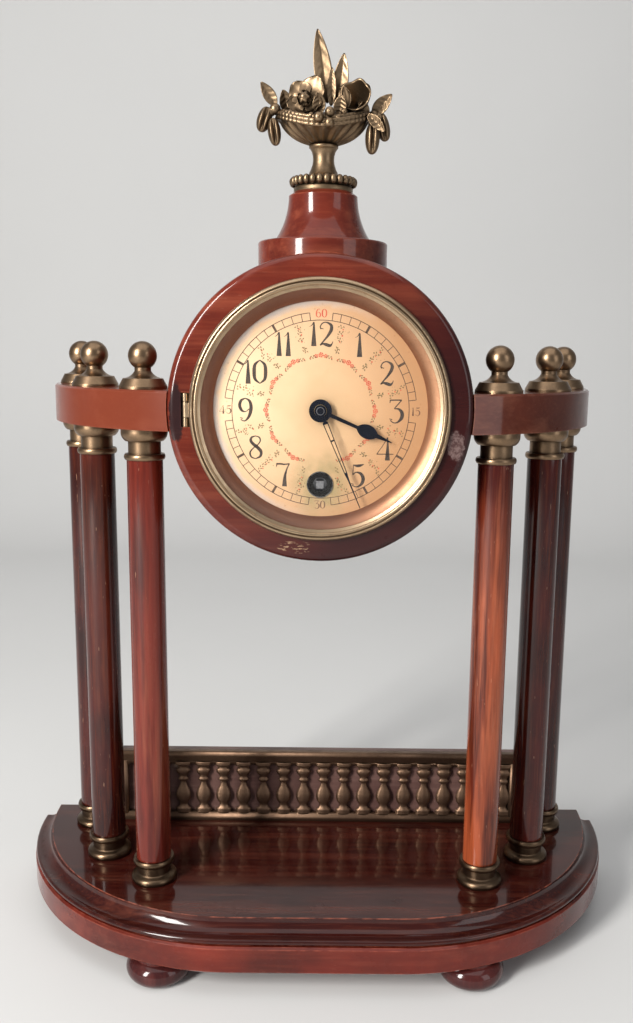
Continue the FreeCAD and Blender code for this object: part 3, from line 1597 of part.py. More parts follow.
# Turned plinth, coped to the drum, with a dowel into it

dowel_low = drum_top - plinth_dowel_depth
plinth_profile = [
    (0.0, drum_top - plinth_sunk_depth),
    (plinth_flange_radius, drum_top - plinth_sunk_depth),
    (plinth_flange_radius, plinth_flange_height - plinth_flange_round),
    (
        plinth_flange_radius - plinth_flange_round * (1 - math.sqrt(0.5)),
        plinth_flange_height - plinth_flange_round * (1 - math.sqrt(0.5)),
        plinth_flange_radius - plinth_flange_round,
        plinth_flange_height,
    ),
    (plinth_cone_radius, plinth_flange_height),
    (plinth_waist_radius, plinth_waist_height, plinth_top_radius, plinth_top_height),
    (plinth_shoulder_radius, plinth_shoulder_height),
    (0.0, plinth_shoulder_height),
]
plinth = turned_z(plinth_profile, 0.0, plinth_y)
plinth = plinth.cut(rod_y(drum_axis, drum_radius, drum_front_y - overrun, drum_back_y + overrun))
plinth = max(plinth.Solids, key=lambda s: s.BoundBox.ZMax)
plinth = joined(plinth, rod_z(0.0, plinth_y, plinth_dowel_radius, dowel_low, drum_top + overrun))
stud_low = plinth_shoulder_height - urn_stud_length
shapes["finial_plinth"] = plinth.cut(
    rod_z(0.0, plinth_y, urn_stud_radius, stud_low, plinth_shoulder_height + overrun)
)

# Flower basket


def urn_z(height):
    """A height above the plinth."""
    return plinth_shoulder_height + height


def bud(x, y, z, half_width, half_length, tilt):
    """A pod with pointed ends, tilted about Y, at x, y and a height above the plinth."""
    tip = half_width * blunt_tip_share
    outline = [(0.0, -half_length), (tip, -half_length), (half_width, 0.0, tip, half_length), (0.0, half_length)]
    shape = turned_z(outline, as_curve=True)
    shape.rotate(vec(0, 0, 0), vec(0, 1, 0), tilt)
    shape.translate(vec(x, plinth_y + y, urn_z(z)))
    return shape


def petal(x, y, z, radius, depth):
    """A flat round petal with a thin edge, facing the front."""
    crown_r = radius * petal_crown_shares[0]
    crown_y = depth * petal_crown_shares[1]
    middle = plinth_y + y
    flat = radius * blunt_tip_share
    profile = [
        (0.0, middle - depth),
        (flat, middle - depth),
        (crown_r, middle - crown_y, radius, middle),
        (crown_r, middle + crown_y, flat, middle + depth),
        (0.0, middle + depth),
    ]
    return turned_y(profile, (x, urn_z(z)), as_curve=True)


def basket_leaf(foot_x, foot_z, tip_x, tip_z, half_width, y):
    """A pointed leaf: two arcs from its foot to its tip."""
    length = math.hypot(tip_x - foot_x, tip_z - foot_z)
    widest = length * leaf_widest_share
    outline = [(0.0, 0.0), (half_width, widest, 0.0, length), (-half_width, widest, 0.0, 0.0)]
    middle = plinth_y + y
    edges = path_edges(outline, lambda a, b: vec(a, middle - leaf_thickness_y / 2, b))
    leaf = Part.Face(Part.Wire(edges)).extrude(vec(0, leaf_thickness_y, 0))
    leaf.rotate(vec(0, middle, 0), vec(0, 1, 0), math.degrees(math.atan2(tip_x - foot_x, tip_z - foot_z)))
    leaf.translate(vec(foot_x, 0, urn_z(foot_z)))
    return leaf


def boat(half_length, drop, low, high):
    """The part from low to high of a hull that is turned about its own rim line."""
    rim = urn_z(bowl_rim_height)
    end = rim - drop * bowl_end_share
    outline = [(-half_length, rim), (-half_length, end), (0.0, rim - drop, half_length, end), (half_length, rim)]
    face = closed_face(outline, lambda x, z: vec(x, plinth_y, z), as_curve=True)
    hull = face.revolve(vec(0, plinth_y, rim), vec(1, 0, 0), 360)
    reach = half_length + overrun
    return hull.common(block(-reach, reach, plinth_y - reach, plinth_y + reach, low, high))


def basket_bowl():
    """The boat-shaped bowl with a band that stands out under its rim."""
    rim = urn_z(bowl_rim_height)
    bowl = boat(bowl_half_width, bowl_drop, rim - bowl_drop - overrun, rim)
    band = boat(bowl_half_width + bowl_band_rise, bowl_drop + bowl_band_rise, rim - bowl_rim_band, rim)
    return joined(bowl, band)


def open_flower():
    petals = []
    for index in range(flower_petals):
        turn = math.radians(90.0 + 360.0 / flower_petals * index)
        x = flower_x + petal_circle * math.cos(turn)
        z = flower_height + petal_circle * math.sin(turn)
        petals.append(petal(x, flower_y, z, petal_radius, petal_depth))
    heart_y = flower_y - petal_depth / 2
    petals.append(petal(flower_x, heart_y, flower_height, flower_heart_radius, petal_depth))
    return petals


def cup_flower():
    profile = [
        (0.0, 0.0),
        (cup_foot_radius, 0.0),
        (cup_radius * cup_outer_shares[0], cup_length * cup_outer_shares[1], cup_radius, cup_length),
        (cup_radius - cup_wall, cup_length),
        (cup_radius / 2, cup_length * cup_inner_share, cup_foot_radius / 2, cup_wall * 2),
        (0.0, cup_wall * 2),
    ]
    cup = turned_z(profile)
    cup.translate(vec(0, 0, -cup_length / 2))
    cup.rotate(vec(0, 0, 0), vec(1, 0, 0), 90.0 - cup_tilt)
    cup.translate(vec(cup_x, plinth_y + cup_y, urn_z(cup_height)))
    return cup


bead_middle = urn_ring_height + bead_ring_height / 2
stem_profile = [
    (0.0, 0.0),
    (urn_ring_radius, 0.0),
    (urn_ring_radius, urn_ring_height),
    (bead_ring_radius, urn_ring_height),
    (bead_reach, bead_middle, bead_ring_radius, urn_ring_height + bead_ring_height),
    (stem_flare_radius, urn_ring_height + bead_ring_height),
    (stem_flare_radius, urn_ring_height + bead_ring_height + stem_flare_height),
    (stem_waist_radius, stem_waist_height * stem_curve_share, stem_waist_radius, stem_waist_height),
    (stem_top_radius, stem_top_height),
    (0.0, stem_top_height),
]
stem = turned_z(stem_profile)
stem.translate(vec(0, plinth_y, plinth_shoulder_height))
stud = rod_z(0.0, plinth_y, urn_stud_radius, stud_low, plinth_shoulder_height)
urn = joined(stem, stud)
urn = urn.fuse(basket_bowl())
for row in leaf_shares:
    urn = urn.fuse(basket_leaf(*[share * basket_height for share in row]))
for row, tilt in zip(bud_shares, bud_tilts):
    x, y, z, half_width, half_length = [share * basket_height for share in row]
    urn = urn.fuse(bud(x, y, z, half_width, half_length, tilt))
for row in berry_shares:
    x, y, z = [share * basket_height for share in row]
    urn = urn.fuse(bud(x, y, z, berry_radius, berry_radius, 0.0))
for piece in open_flower():
    urn = urn.fuse(piece)
urn = urn.fuse(cup_flower())
shapes["urn_finial"] = urn

# Gallery: a pierced brass balustrade in front of a wooden board

rail_low = board_top + gallery_bottom_rail
rail_high = board_top + gallery_height
top_rail_low = rail_high - gallery_top_rail
gallery_front_y = gallery_back_y - gallery_depth


def baluster(x):
    """Half of a turned baluster, flat at the back."""
    span = top_rail_low - rail_low
    radii = (
        baluster_foot_radius,
        baluster_foot_radius,
        baluster_waist_radius,
        baluster_ring_radius,
        baluster_waist_radius,
        baluster_belly_radius,
        baluster_shoulder_radius,
        baluster_neck_radius,
        baluster_neck_radius,
        baluster_cap_radius,
        baluster_cap_radius,
    )
    heights = [rail_low + span * share for share in baluster_height_shares]
    profile = [(0.0, rail_low)] + list(zip(radii, heights)) + [(0.0, top_rail_low)]
    face = closed_face(profile, lambda r, z: vec(x - r, gallery_back_y, z))
    return face.revolve(vec(x, gallery_back_y, 0), vec(0, 0, 1), 180)


def gallery():
    half = gallery_half_length
    bottom = block(-half, half, gallery_front_y, gallery_back_y, board_top, rail_low)
    top_points = [
        (gallery_back_y, top_rail_low),
        (gallery_front_y + gallery_rail_step, top_rail_low),
        (gallery_front_y + gallery_rail_step / 2, top_rail_low + gallery_rail_step),
        (gallery_front_y, rail_high - gallery_rail_step),
        (gallery_front_y, rail_high),
        (gallery_back_y, rail_high),
    ]
    face = closed_face(top_points, lambda y, z: vec(-gallery_half_length, y, z))
    top = face.extrude(vec(2 * gallery_half_length, 0, 0))
    reach = gallery_half_length - baluster_foot_radius
    first = math.ceil((-reach - baluster_offset) / baluster_pitch)
    last = math.floor((reach - baluster_offset) / baluster_pitch)
    posts = [baluster(baluster_offset + index * baluster_pitch) for index in range(first, last + 1)]
    return joined(bottom, top, *posts)


shapes["gallery_balustrade"] = gallery()
shapes["gallery_backboard"] = block(
    -gallery_half_length, gallery_half_length,
    gallery_back_y, gallery_back_y + backboard_thickness,
    board_top, board_top + backboard_height,
)

os.makedirs("parts", exist_ok=True)
for name, shape in shapes.items():
    shape.exportStep(f"parts/{name}.step")
    print(f"{name}: {len(shape.Solids)} solids, volume {shape.Volume:.1f}, valid {shape.isValid()}")
print(f"{len(shapes)} nodes")
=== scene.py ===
import json
import math

import bmesh
import bpy
import numpy as np
from mathutils import Matrix, Vector


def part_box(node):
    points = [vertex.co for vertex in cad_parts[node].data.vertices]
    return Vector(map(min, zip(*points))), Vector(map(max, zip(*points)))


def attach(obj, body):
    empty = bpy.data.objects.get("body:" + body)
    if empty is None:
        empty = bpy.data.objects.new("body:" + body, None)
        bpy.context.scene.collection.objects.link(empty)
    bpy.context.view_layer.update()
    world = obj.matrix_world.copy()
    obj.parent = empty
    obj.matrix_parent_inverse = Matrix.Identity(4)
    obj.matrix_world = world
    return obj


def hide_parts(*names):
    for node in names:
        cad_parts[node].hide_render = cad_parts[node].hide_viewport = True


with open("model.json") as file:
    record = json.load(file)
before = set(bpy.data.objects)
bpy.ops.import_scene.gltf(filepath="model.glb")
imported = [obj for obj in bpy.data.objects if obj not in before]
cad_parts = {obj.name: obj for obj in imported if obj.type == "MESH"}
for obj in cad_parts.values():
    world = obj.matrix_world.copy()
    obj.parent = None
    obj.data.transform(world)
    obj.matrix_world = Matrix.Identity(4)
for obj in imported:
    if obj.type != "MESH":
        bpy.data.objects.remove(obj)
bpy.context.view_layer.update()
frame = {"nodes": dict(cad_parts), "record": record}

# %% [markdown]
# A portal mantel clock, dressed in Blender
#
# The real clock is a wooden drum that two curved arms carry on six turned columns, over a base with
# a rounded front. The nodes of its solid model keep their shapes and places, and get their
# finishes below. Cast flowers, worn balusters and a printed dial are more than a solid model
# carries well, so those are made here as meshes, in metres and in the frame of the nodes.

MM = 0.001
TURN = 2 * math.pi
dial_low, dial_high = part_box("dial")
dial_centre = (dial_low + dial_high) / 2
winding_low, winding_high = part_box("winding_grommet")
winding_centre = (winding_low + winding_high) / 2
print("the dial is", round((dial_high.x - dial_low.x) / MM, 1), "mm across")

# %% [markdown]
# Grids of points
#
# A casting could be sculpted by hand, but then no run would repeat the last one. Here each surface
# is a grid: rows run along the piece, columns run round it, and a formula gives every point at
# once. A grid that closes on itself gets a face over each end, so that every shell is closed.

# %% Grids of points
def mesh_object(name, points, faces, smooth):
    """A mesh object from an array of points, in metres, and a list of faces. smooth is one per face."""
    mesh = bpy.data.meshes.new(name)
    mesh.from_pydata(points.reshape(-1, 3).tolist(), [], faces)
    mesh.validate()
    mesh.polygons.foreach_set("use_smooth", smooth)
    thing = bpy.data.objects.new(name, mesh)
    bpy.context.scene.collection.objects.link(thing)
    return thing


def grid_faces(rows, columns, closed, start=0):
    """Four-cornered faces between neighbouring rows and columns of a grid.

    Corner j of row i is point i times columns, plus j. The last column joins the first if closed.
    """
    last = columns if closed else columns - 1
    i, j = np.meshgrid(np.arange(rows - 1), np.arange(last), indexing="ij")
    low, high, after = i * columns, (i + 1) * columns, (j + 1) % columns
    corners = [low + j, low + after, high + after, high + j]
    return (np.stack(corners, -1).reshape(-1, 4) + start).tolist()


def outward(mesh):
    """Joins points that share a place and turns the faces of every closed shell outwards."""
    work = bmesh.new()
    work.from_mesh(mesh)
    bmesh.ops.remove_doubles(work, verts=work.verts, dist=0.001 * MM)
    bmesh.ops.recalc_face_normals(work, faces=work.faces)
    work.to_mesh(mesh)
    work.free()


class Pieces:
    """Collects grids and flat outlines into one mesh."""

    def __init__(self):
        self.points, self.faces, self.smooth = [], [], []
        self.count = 0

    def take(self, points, faces, smooth):
        """Adds points, and faces that already count from the first point of all."""
        self.points.append(points)
        self.faces += faces
        self.smooth += [smooth] * len(faces)
        self.count += len(points)

    def grid(self, points, closed=True, caps=True):
        """points has the shape rows, columns, 3. A closed grid gets a face over each end."""
        rows, columns = points.shape[:2]
        start = self.count
        self.take(points.reshape(-1, 3), grid_faces(rows, columns, closed, start), True)
        if closed and caps:
            first = list(range(start, start + columns))
            last = list(range(self.count - columns, self.count))
            self.faces += [first[::-1], last]
            self.smooth += [False, False]

    def flat(self, points):
        """One face with many corners."""
        self.take(points, [list(range(self.count, self.count + len(points)))], False)

    def build(self, name, solid=True):
        """solid is for closed shells. Without it the faces stay flat, as print is."""
        smooth = self.smooth if solid else [False] * len(self.faces)
        thing = mesh_object(name, np.concatenate(self.points), self.faces, smooth)
        if solid:
            outward(thing.data)
        return thing


print("a closed grid of 3 rows and 8 columns has", len(grid_faces(3, 8, True)), "faces")

# %% Turned shapes and smooth lines
def lathe(radii, heights, columns, wave=0.0, waves=0):
    """Points turned about Z: a radius and a height for each row.

    x is the radius times the cosine of the turn, and y the radius times its sine. wave adds flutes:
    each radius is multiplied by 1 plus wave times the cosine of waves turns.
    """
    turn = np.linspace(0, TURN, columns, endpoint=False)
    reach = radii[:, None] * (1 + np.reshape(wave, (-1, 1)) * np.cos(waves * turn))
    heights = np.repeat(heights[:, None], columns, 1)
    return np.stack([reach * np.cos(turn), reach * np.sin(turn), heights], -1)


def smooth_curve(points, count):
    """A smooth run of count points through the given ones.

    Each stretch is a cubic in u, from 0 to 1. At a point it runs the way its two neighbours lie.
    """
    ends = np.vstack([2 * points[0] - points[1], points, 2 * points[-1] - points[-2]])
    t = np.linspace(0, len(points) - 1, count)
    k = np.minimum(t.astype(int), len(points) - 2)
    u = (t - k)[:, None]
    a, b, c, d = ends[k], ends[k + 1], ends[k + 2], ends[k + 3]
    straight, bend, twist = c - a, 2 * a - 5 * b + 4 * c - d, 3 * b - a - 3 * c + d
    return 0.5 * (2 * b + straight * u + bend * u**2 + twist * u**3)


print("a curve through 0, 1 and 0:", smooth_curve(np.array([[0], [1], [0]]), 5).ravel())

# %% [markdown]
# Sums inside a shader
#
# A finish is a small network of nodes, and wiring it by hand hides what it does. The class below
# lets it be written as a sum: a Value is a number inside the shader, and each operation on it adds
# one Math node. Coordinates are the object's own, turned into millimetres, so a pattern keeps its
# real size and stays on the piece when it moves.

# %% Sums inside a shader
EVEN = (1.0, 1.0, 1.0)
ALONG_X = (0.06, 1.0, 1.0)
ALONG_Z = (1.0, 1.0, 0.05)


def operation(name):
    """A method that adds one Math node, for that operation, and gives its result."""
    return lambda self, *others: self.build.maths(name, self, *others)


class Value:
    """A number inside a shader."""

    __add__ = __radd__ = operation("ADD")
    __sub__ = operation("SUBTRACT")
    __mul__ = __rmul__ = operation("MULTIPLY")
    __truediv__ = operation("DIVIDE")
    __pow__ = operation("POWER")
    size = operation("ABSOLUTE")

    def __init__(self, build, socket):
        self.build, self.socket = build, socket

    def __rsub__(self, other):
        return self.build.maths("SUBTRACT", other, self)

    def limited(self):
        """Kept between 0 and 1."""
        return self.build.maths("ADD", self, 0.0, clamp=True)

    def ramp(self, low, high):
        """0 below low, 1 above high, and an even slope between them. low may be the larger one.

        It is the value less low, over high less low, kept between 0 and 1.
        """
        return ((self - low) / (high - low)).limited()

    def bump_at(self, centre, width):
        """1 at centre, falling to 0 at width on each side."""
        return (1.0 - (self - centre).size() / width).limited()


print("a Value knows", [name for name in vars(Value) if name[0] != "_"])

# %% A finish
class Finish:
    """One material, its coordinates and its Principled shader."""

    def __init__(self, name):
        self.material = bpy.data.materials.new(name)
        self.material.use_nodes = True
        self.tree = self.material.node_tree
        self.shader = self.tree.nodes["Principled BSDF"]
        place = self.add("ShaderNodeTexCoord", out=3)
        self.place = self.add("ShaderNodeVectorMath", place, (1000.0,) * 3, operation="MULTIPLY")
        split = self.add("ShaderNodeSeparateXYZ", self.place).node
        self.x, self.y, self.z = [Value(self, socket) for socket in split.outputs]

    def put(self, value, socket):
        """Sets a socket from a number, a colour, a Value or another socket."""
        if isinstance(value, Value):
            value = value.socket
        if isinstance(value, bpy.types.NodeSocket):
            self.tree.links.new(value, socket)
        elif socket.type == "RGBA":
            socket.default_value = (*value, 1.0)
        else:
            socket.default_value = value

    def add(self, kind, *inputs, out=0, **settings):
        """Adds a node: its settings first, then its inputs in order. Gives one of its outputs."""
        node = self.tree.nodes.new(kind)
        for key, value in settings.items():
            setattr(node, key, value)
        for value, socket in zip(inputs, [s for s in node.inputs if s.enabled]):
            if value is not None:
                self.put(value, socket)
        return node.outputs[out]

    def maths(self, operation, *inputs, clamp=False):
        return Value(self, self.add("ShaderNodeMath", *inputs, operation=operation, use_clamp=clamp))

    def mix(self, amount, first, second):
        """A colour between two colours: the first at 0 and the second at 1."""
        return self.add("ShaderNodeMix", amount, first, second, out=2, data_type="RGBA")

    def noise(self, scale, detail, along=EVEN, offset=(0.0, 0.0, 0.0), rough=0.5):
        """Soft noise from about 0 to 1, with the given number of cells per millimetre.

        along stretches it by three factors, for grain that runs one way, and offset moves it.
        """
        stretched = self.add("ShaderNodeVectorMath", self.place, along, operation="MULTIPLY")
        moved = self.add("ShaderNodeVectorMath", stretched, offset, operation="ADD")
        return Value(self, self.add("ShaderNodeTexNoise", moved, scale, detail, rough))

    def specks(self, scale):
        """The distance to the nearest of many scattered points."""
        return Value(self, self.add("ShaderNodeTexVoronoi", self.place, scale))

    def hollows(self, distance):
        """About 1 in the open and 0 deep in a crevice, within a distance in millimetres."""
        kind = "ShaderNodeAmbientOcclusion"
        return Value(self, self.add(kind, None, distance * MM, out=1, samples=6, only_local=True))

    def rounded(self, radius):
        """The way the surface would face with its edges rounded, by a radius in millimetres."""
        return self.add("ShaderNodeBevel", radius * MM, samples=6)

    def edges(self, radius):
        """0 on flat surfaces and towards 1 on edges, within a radius in millimetres.

        The dot product of the rounded and the plain normal is 1 where both agree, and less on an edge.
        """
        normal = self.add("ShaderNodeNewGeometry", out=1)
        kind = "ShaderNodeVectorMath"
        dot = self.add(kind, self.rounded(radius), normal, out=1, operation="DOT_PRODUCT")
        return Value(self, dot).ramp(0.995, 0.80)

    def bump(self, height, depth, strength, soft_edges=0.0):
        """Raises the surface by height x depth, in millimetres. soft_edges rounds sharp edges."""
        normal = self.rounded(soft_edges) if soft_edges else None
        raised = self.add("ShaderNodeBump", strength, depth * MM, None, height, normal)
        self.put(raised, self.shader.inputs["Normal"])

    def set(self, **sockets):
        """Sets the shader's sockets. Base_Color stands for Base Color."""
        for name, value in sockets.items():
            self.put(value, self.shader.inputs[name.replace("_", " ")])


print("a Finish knows", [name for name in vars(Finish) if name[0] != "_"])

# %% [markdown]
# Old polished wood
#
# The clock is dark mahogany under a thick, worn polish. A picture of wood wrapped round it would
# show seams. Noise that is stretched along the grain has none: it runs the colour between a dark
# and a lighter red, and wears the polish through to orange along the edges.

# %% Polished wood
def toned(colour, factor, lift=0.0):
    """A colour multiplied by a factor and lifted, kept at 1 or below."""
    return tuple(min(1.0, c * factor + lift) for c in colour)


def wood(name, dark, middle, light, grain, seed, wear=0.5, gloss=0.22, patches=0.5, place=None, marks=None):
    """Polished wood. grain gives the factors that stretch the noise along the grain.

    place(finish) may give a Value that says where the polish is worn through, from 0 to 1.
    marks(finish, colour) may give the colour with marks of its own on it, and for the drum a painted shade.
    """
    f = Finish(name)
    offset = (seed, seed * 1.7, seed * 0.6)
    bands = f.noise(0.16, 4.0, grain, offset, 0.6)
    streaks = f.noise(0.9, 3.0, grain, offset, 0.6)
    clouds = f.noise(0.035, 3.0, EVEN, offset)
    pores = f.noise(3.2, 2.0, grain, offset, 0.7)
    tone = bands.ramp(0.25, 0.75) * 0.22 + clouds.ramp(0.28, 0.72) * 0.78
    colour = f.mix(tone, dark, middle)
    colour = f.mix(streaks.ramp(0.48, 0.85) * 0.2, colour, light)
    colour = f.mix(pores.ramp(0.60, 0.80) * 0.25, colour, toned(dark, 0.5))
    where = place(f) if place else 1.0
    worn = f.noise(0.10, 5.0, grain, (seed + 7.0, 3.0, 1.0), 0.65).ramp(0.50, 0.66) * patches * where
    edge_wear = f.edges(1.0) * f.noise(0.25, 4.0, EVEN, offset, 0.6).ramp(0.38, 0.62)
    rubbed = (worn + edge_wear * wear).limited()
    colour = f.mix(rubbed, colour, toned(light, 1.35, 0.02))
    scratches = f.noise(0.8, 2.0, tuple(g * 3.0 + 0.12 for g in grain), (seed, 11.0, 5.0), 0.4)
    scratch = scratches.ramp(0.745, 0.76)
    colour = f.mix(scratch * 0.4 * patches, colour, (0.62, 0.36, 0.22))
    if marks:
        colour = marks(f, colour)
    smears = f.noise(0.05, 4.0, EVEN, (3.0, seed, 2.0), 0.6)
    rough = smears.ramp(0.35, 0.75) * 0.14 + rubbed * 0.16 + scratch * 0.2 + gloss
    f.set(Base_Color=colour, Roughness=rough, Coat_Weight=0.6, Coat_Roughness=0.07, IOR=1.42,
          Specular_IOR_Level=0.12)
    f.bump(streaks * 0.2 + pores * 0.08 + smears * 0.9 - scratch * 0.6, 0.05, 0.5, soft_edges=0.35)
    return f.material


print("worn red polish turns to", np.round(toned((0.28, 0.055, 0.025), 1.35, 0.02), 3))

# %% [markdown]
# Wear, tone and painted shade that are where they are
#
# Noise alone puts wear anywhere. The front columns and the drum have wear in known places, the left arm is
# lighter than the right one, and the drum has a painted shade at its lower right. It could be painted on,
# but ramps along X, Y and Z need no picture: a ramp is 0 on one side of a plane, 1 on the other and slopes
# in between.

# %% Wear, tone and painted shade that are where they are
def column_wear(f):
    """Worn through on the two front columns: most on the right one, and lower down on the left."""
    front = f.y.ramp(-1.0, -6.0)
    right = f.x.ramp(-5.0, 5.0) * f.z.ramp(60.0, 95.0) * f.z.ramp(215.0, 150.0)
    left = f.x.ramp(5.0, -5.0) * f.z.ramp(45.0, 70.0) * f.z.ramp(175.0, 110.0) * 0.5
    return front * (right + left) + 0.05


def column_tone(f, colour):
    """Faded on the two front columns, most on the right one below its top."""
    front = f.y.ramp(-1.0, -6.0)
    streaks = f.noise(0.15, 4.0, (1.0, 1.0, 0.06), (3.0, 1.0, 2.0), 0.65).ramp(0.40, 0.58)
    colour = f.mix(front * f.x.ramp(5.0, -5.0) * (streaks * 0.6 + 0.15), colour, (0.16, 0.020, 0.011))
    below = f.x.ramp(-5.0, 5.0) * f.z.ramp(205.0, 130.0)
    return f.mix(front * below * (streaks * 0.7 + 0.1), colour, (0.36, 0.075, 0.026))


def arm_tone(f, colour):
    """The left arm is lighter than the right one."""
    return f.mix(f.x.ramp(10.0, -10.0) * 0.6, colour, (0.185, 0.034, 0.014))


def spot(f, x, z, half_x, half_z, ragged):
    """1 inside an oval spot on the drum's face and 0 outside, with a ragged edge.

    The reach is the root of the sum of the squares of x and z, each over its half width. Noise is
    added to it, and a ramp turns it over at about 1.
    """
    a = (f.x - x) / half_x
    b = (f.z - z) / half_z
    edge = f.noise(0.35, 4.0, EVEN, (x, 3.0, z), 0.7) * ragged
    inside = ((a * a + b * b) ** 0.5 + edge).ramp(1.0 + ragged * 0.5, 0.85 + ragged * 0.5)
    return inside * f.y.ramp(-20.0, -24.0)


def drum_marks(f, colour):
    """A painted shade that darkens the lower right, and a dark scrape, a rubbed grey patch and pale
    scratches.
    """
    # Painted shade: the drum's face is darkened towards its lower right, away from the light
    lower = (f.x * 0.75 - (f.z - dial_centre.z / MM) * 0.5).ramp(-24.0, 30.0)
    colour = f.mix(lower * 0.92, colour, (0.018, 0.0025, 0.003))
    colour = f.mix(spot(f, -52.3, 222.0, 3.0, 11.5, 0.8) * 0.9, colour, (0.012, 0.007, 0.008))
    flakes = f.noise(0.6, 4.0, EVEN, (7.0, 1.0, 3.0), 0.7).ramp(0.40, 0.56)
    grey = spot(f, 49.6, 211.3, 3.2, 6.0, 1.3)
    colour = f.mix(grey * (flakes * 0.6 + 0.25), colour, (0.16, 0.105, 0.098))
    lines = f.noise(0.9, 3.0, (0.35, 1.0, 1.6), (2.0, 4.0, 1.0), 0.6).ramp(0.55, 0.60)
    return f.mix(spot(f, -9.0, 173.2, 6.5, 2.6, 0.6) * lines * 0.55, colour, (0.42, 0.27, 0.16))


print("the middle of the drum is", round(dial_centre.z / MM, 1), "mm up")

# %% The woods
# The dark, middle and light colour, the way of the grain, the seed, and what isn't as usual
WOODS = {
    "red_mahogany": ((0.030, 0.004, 0.0025), (0.15, 0.014, 0.006), (0.28, 0.055, 0.025), ALONG_X, 1.0,
        dict(wear=1.0, patches=0.12)),
    "dark_mahogany": ((0.016, 0.003, 0.0025), (0.036, 0.005, 0.0035), (0.22, 0.05, 0.022), ALONG_X, 2.0,
        dict(wear=1.0, gloss=0.16, patches=0.12)),
    "foot_mahogany": ((0.022, 0.006, 0.007), (0.070, 0.014, 0.012), (0.18, 0.04, 0.03), ALONG_Z, 3.0,
        dict(gloss=0.15, patches=0.15)),
    "arm_mahogany": ((0.050, 0.010, 0.005), (0.105, 0.020, 0.009), (0.21, 0.070, 0.034), ALONG_X, 4.0,
        dict(wear=0.6, gloss=0.27, patches=0.15, marks=arm_tone)),
    # The drum's marks include a painted shade at its lower right
    "drum_mahogany": ((0.045, 0.006, 0.004), (0.17, 0.022, 0.010), (0.32, 0.075, 0.030), ALONG_X, 5.0,
        dict(wear=0.8, gloss=0.24, patches=0.18, marks=drum_marks)),
    "column_mahogany": ((0.010, 0.002, 0.002), (0.060, 0.006, 0.004), (0.30, 0.075, 0.026), ALONG_Z, 6.0,
        dict(wear=0.6, gloss=0.16, patches=1.0, place=column_wear, marks=column_tone)),
    "board_wood": ((0.07, 0.034, 0.030), (0.13, 0.070, 0.058), (0.22, 0.13, 0.11), ALONG_X, 8.0,
        dict(wear=0.4, gloss=0.5, patches=0.3)),
}
materials = {}
for name, (*numbers, settings) in WOODS.items():
    materials[name] = wood(name, *numbers, **settings)
print("made", len(materials), "woods")

# %% [markdown]
# Old brass and steel
#
# Cast brass has gone brown: it stays bright only where it is rubbed, and is nearly black in its
# hollows. Such dirt could be painted, but a shader can find it: one node measures how closed in a
# point is, another finds the edges. The movement's brass, behind the dial, is clean.

# %% Brass and steel
def aged_brass(name, bright, dull, deep, rough, seed=0.0, hollow=2.5, blotch=0.5, low=None, shade=None):
    """hollow is the reach of the dark in crevices. Below the height low the metal is darker.

    shade(finish) may give a Value that says where a painted shade darkens the metal, from 0 to 1.
    """
    f = Finish(name)
    offset = (seed, 2.0 * seed, 0.5 * seed)
    open_air = f.hollows(hollow).ramp(0.30, 0.97) if hollow else f.noise(0.3, 2.0).ramp(0.1, 0.2)
    clouds = f.noise(0.13, 5.0, EVEN, offset, 0.62)
    fine = f.noise(1.4, 3.0, EVEN, offset, 0.6)
    rubbed = f.edges(0.6)
    tarnish = (clouds.ramp(0.36, 0.66) * blotch + fine.ramp(0.45, 0.75) * 0.25).limited()
    colour = f.mix(tarnish, bright, dull)
    colour = f.mix(rubbed * 0.5, colour, toned(bright, 1.25))
    colour = f.mix((1.0 - open_air) * 0.85, colour, deep)
    # Painted shade, where the finish asks for one, mixed towards the deep colour
    if shade:
        colour = f.mix(shade(f), colour, deep)
    if low:
        colour = f.mix(f.z.ramp(low + 12.0, low) * 0.7, colour, toned(dull, 0.6))
    roughness = tarnish * 0.18 + (1.0 - open_air) * 0.2 - rubbed * 0.08 + rough
    f.set(Base_Color=colour, Metallic=1.0, Roughness=roughness)
    f.bump(fine * 0.5 + clouds, 0.06, 0.5, soft_edges=0.18)
    return f.material


def clean_metal(name, bright, dull, rough=0.28, along=EVEN):
    """A brushed metal: soft clouds between two tones, and fine lines in its roughness."""
    f = Finish(name)
    lines = f.noise(2.2, 2.0, along, rough=0.6)
    clouds = f.noise(0.08, 4.0)
    colour = f.mix(clouds.ramp(0.35, 0.7), bright, dull)
    f.set(Base_Color=colour, Metallic=1.0, Roughness=lines * 0.14 + rough)
    f.bump(lines, 0.01, 0.35)
    return f.material


def ring_shade(f):
    """Painted shade: the sight ring is darkened at its left half."""
    return f.x.ramp(34.0, 6.0) * 0.7


print("dull brass low down turns to", np.round(toned((0.125, 0.080, 0.052), 0.6), 3))

# %% The metals
# The bright, dull and deep colour, the roughness, and what isn't as usual
BRASSES = {
    "cast_brass": ((0.28, 0.185, 0.11), (0.125, 0.080, 0.052), (0.014, 0.008, 0.006), 0.28, dict(low=60.0)),
    "gallery_brass": ((0.24, 0.148, 0.095), (0.11, 0.066, 0.046), (0.010, 0.007, 0.005), 0.42,
        dict(seed=3.0, hollow=3.5)),
    "bezel_brass": ((0.48, 0.35, 0.225), (0.24, 0.16, 0.10), (0.04, 0.024, 0.016), 0.27,
        dict(seed=5.0, hollow=1.2)),
    # The sight ring gets a painted shade at its left half
    "ring_brass": ((0.38, 0.20, 0.112), (0.25, 0.12, 0.068), (0.14, 0.050, 0.033), 0.42,
        dict(seed=7.0, hollow=0, blotch=0.35, shade=ring_shade)),
    "urn_brass": ((0.29, 0.20, 0.12), (0.10, 0.066, 0.041), (0.010, 0.006, 0.004), 0.33,
        dict(seed=9.0, hollow=5.0)),
}
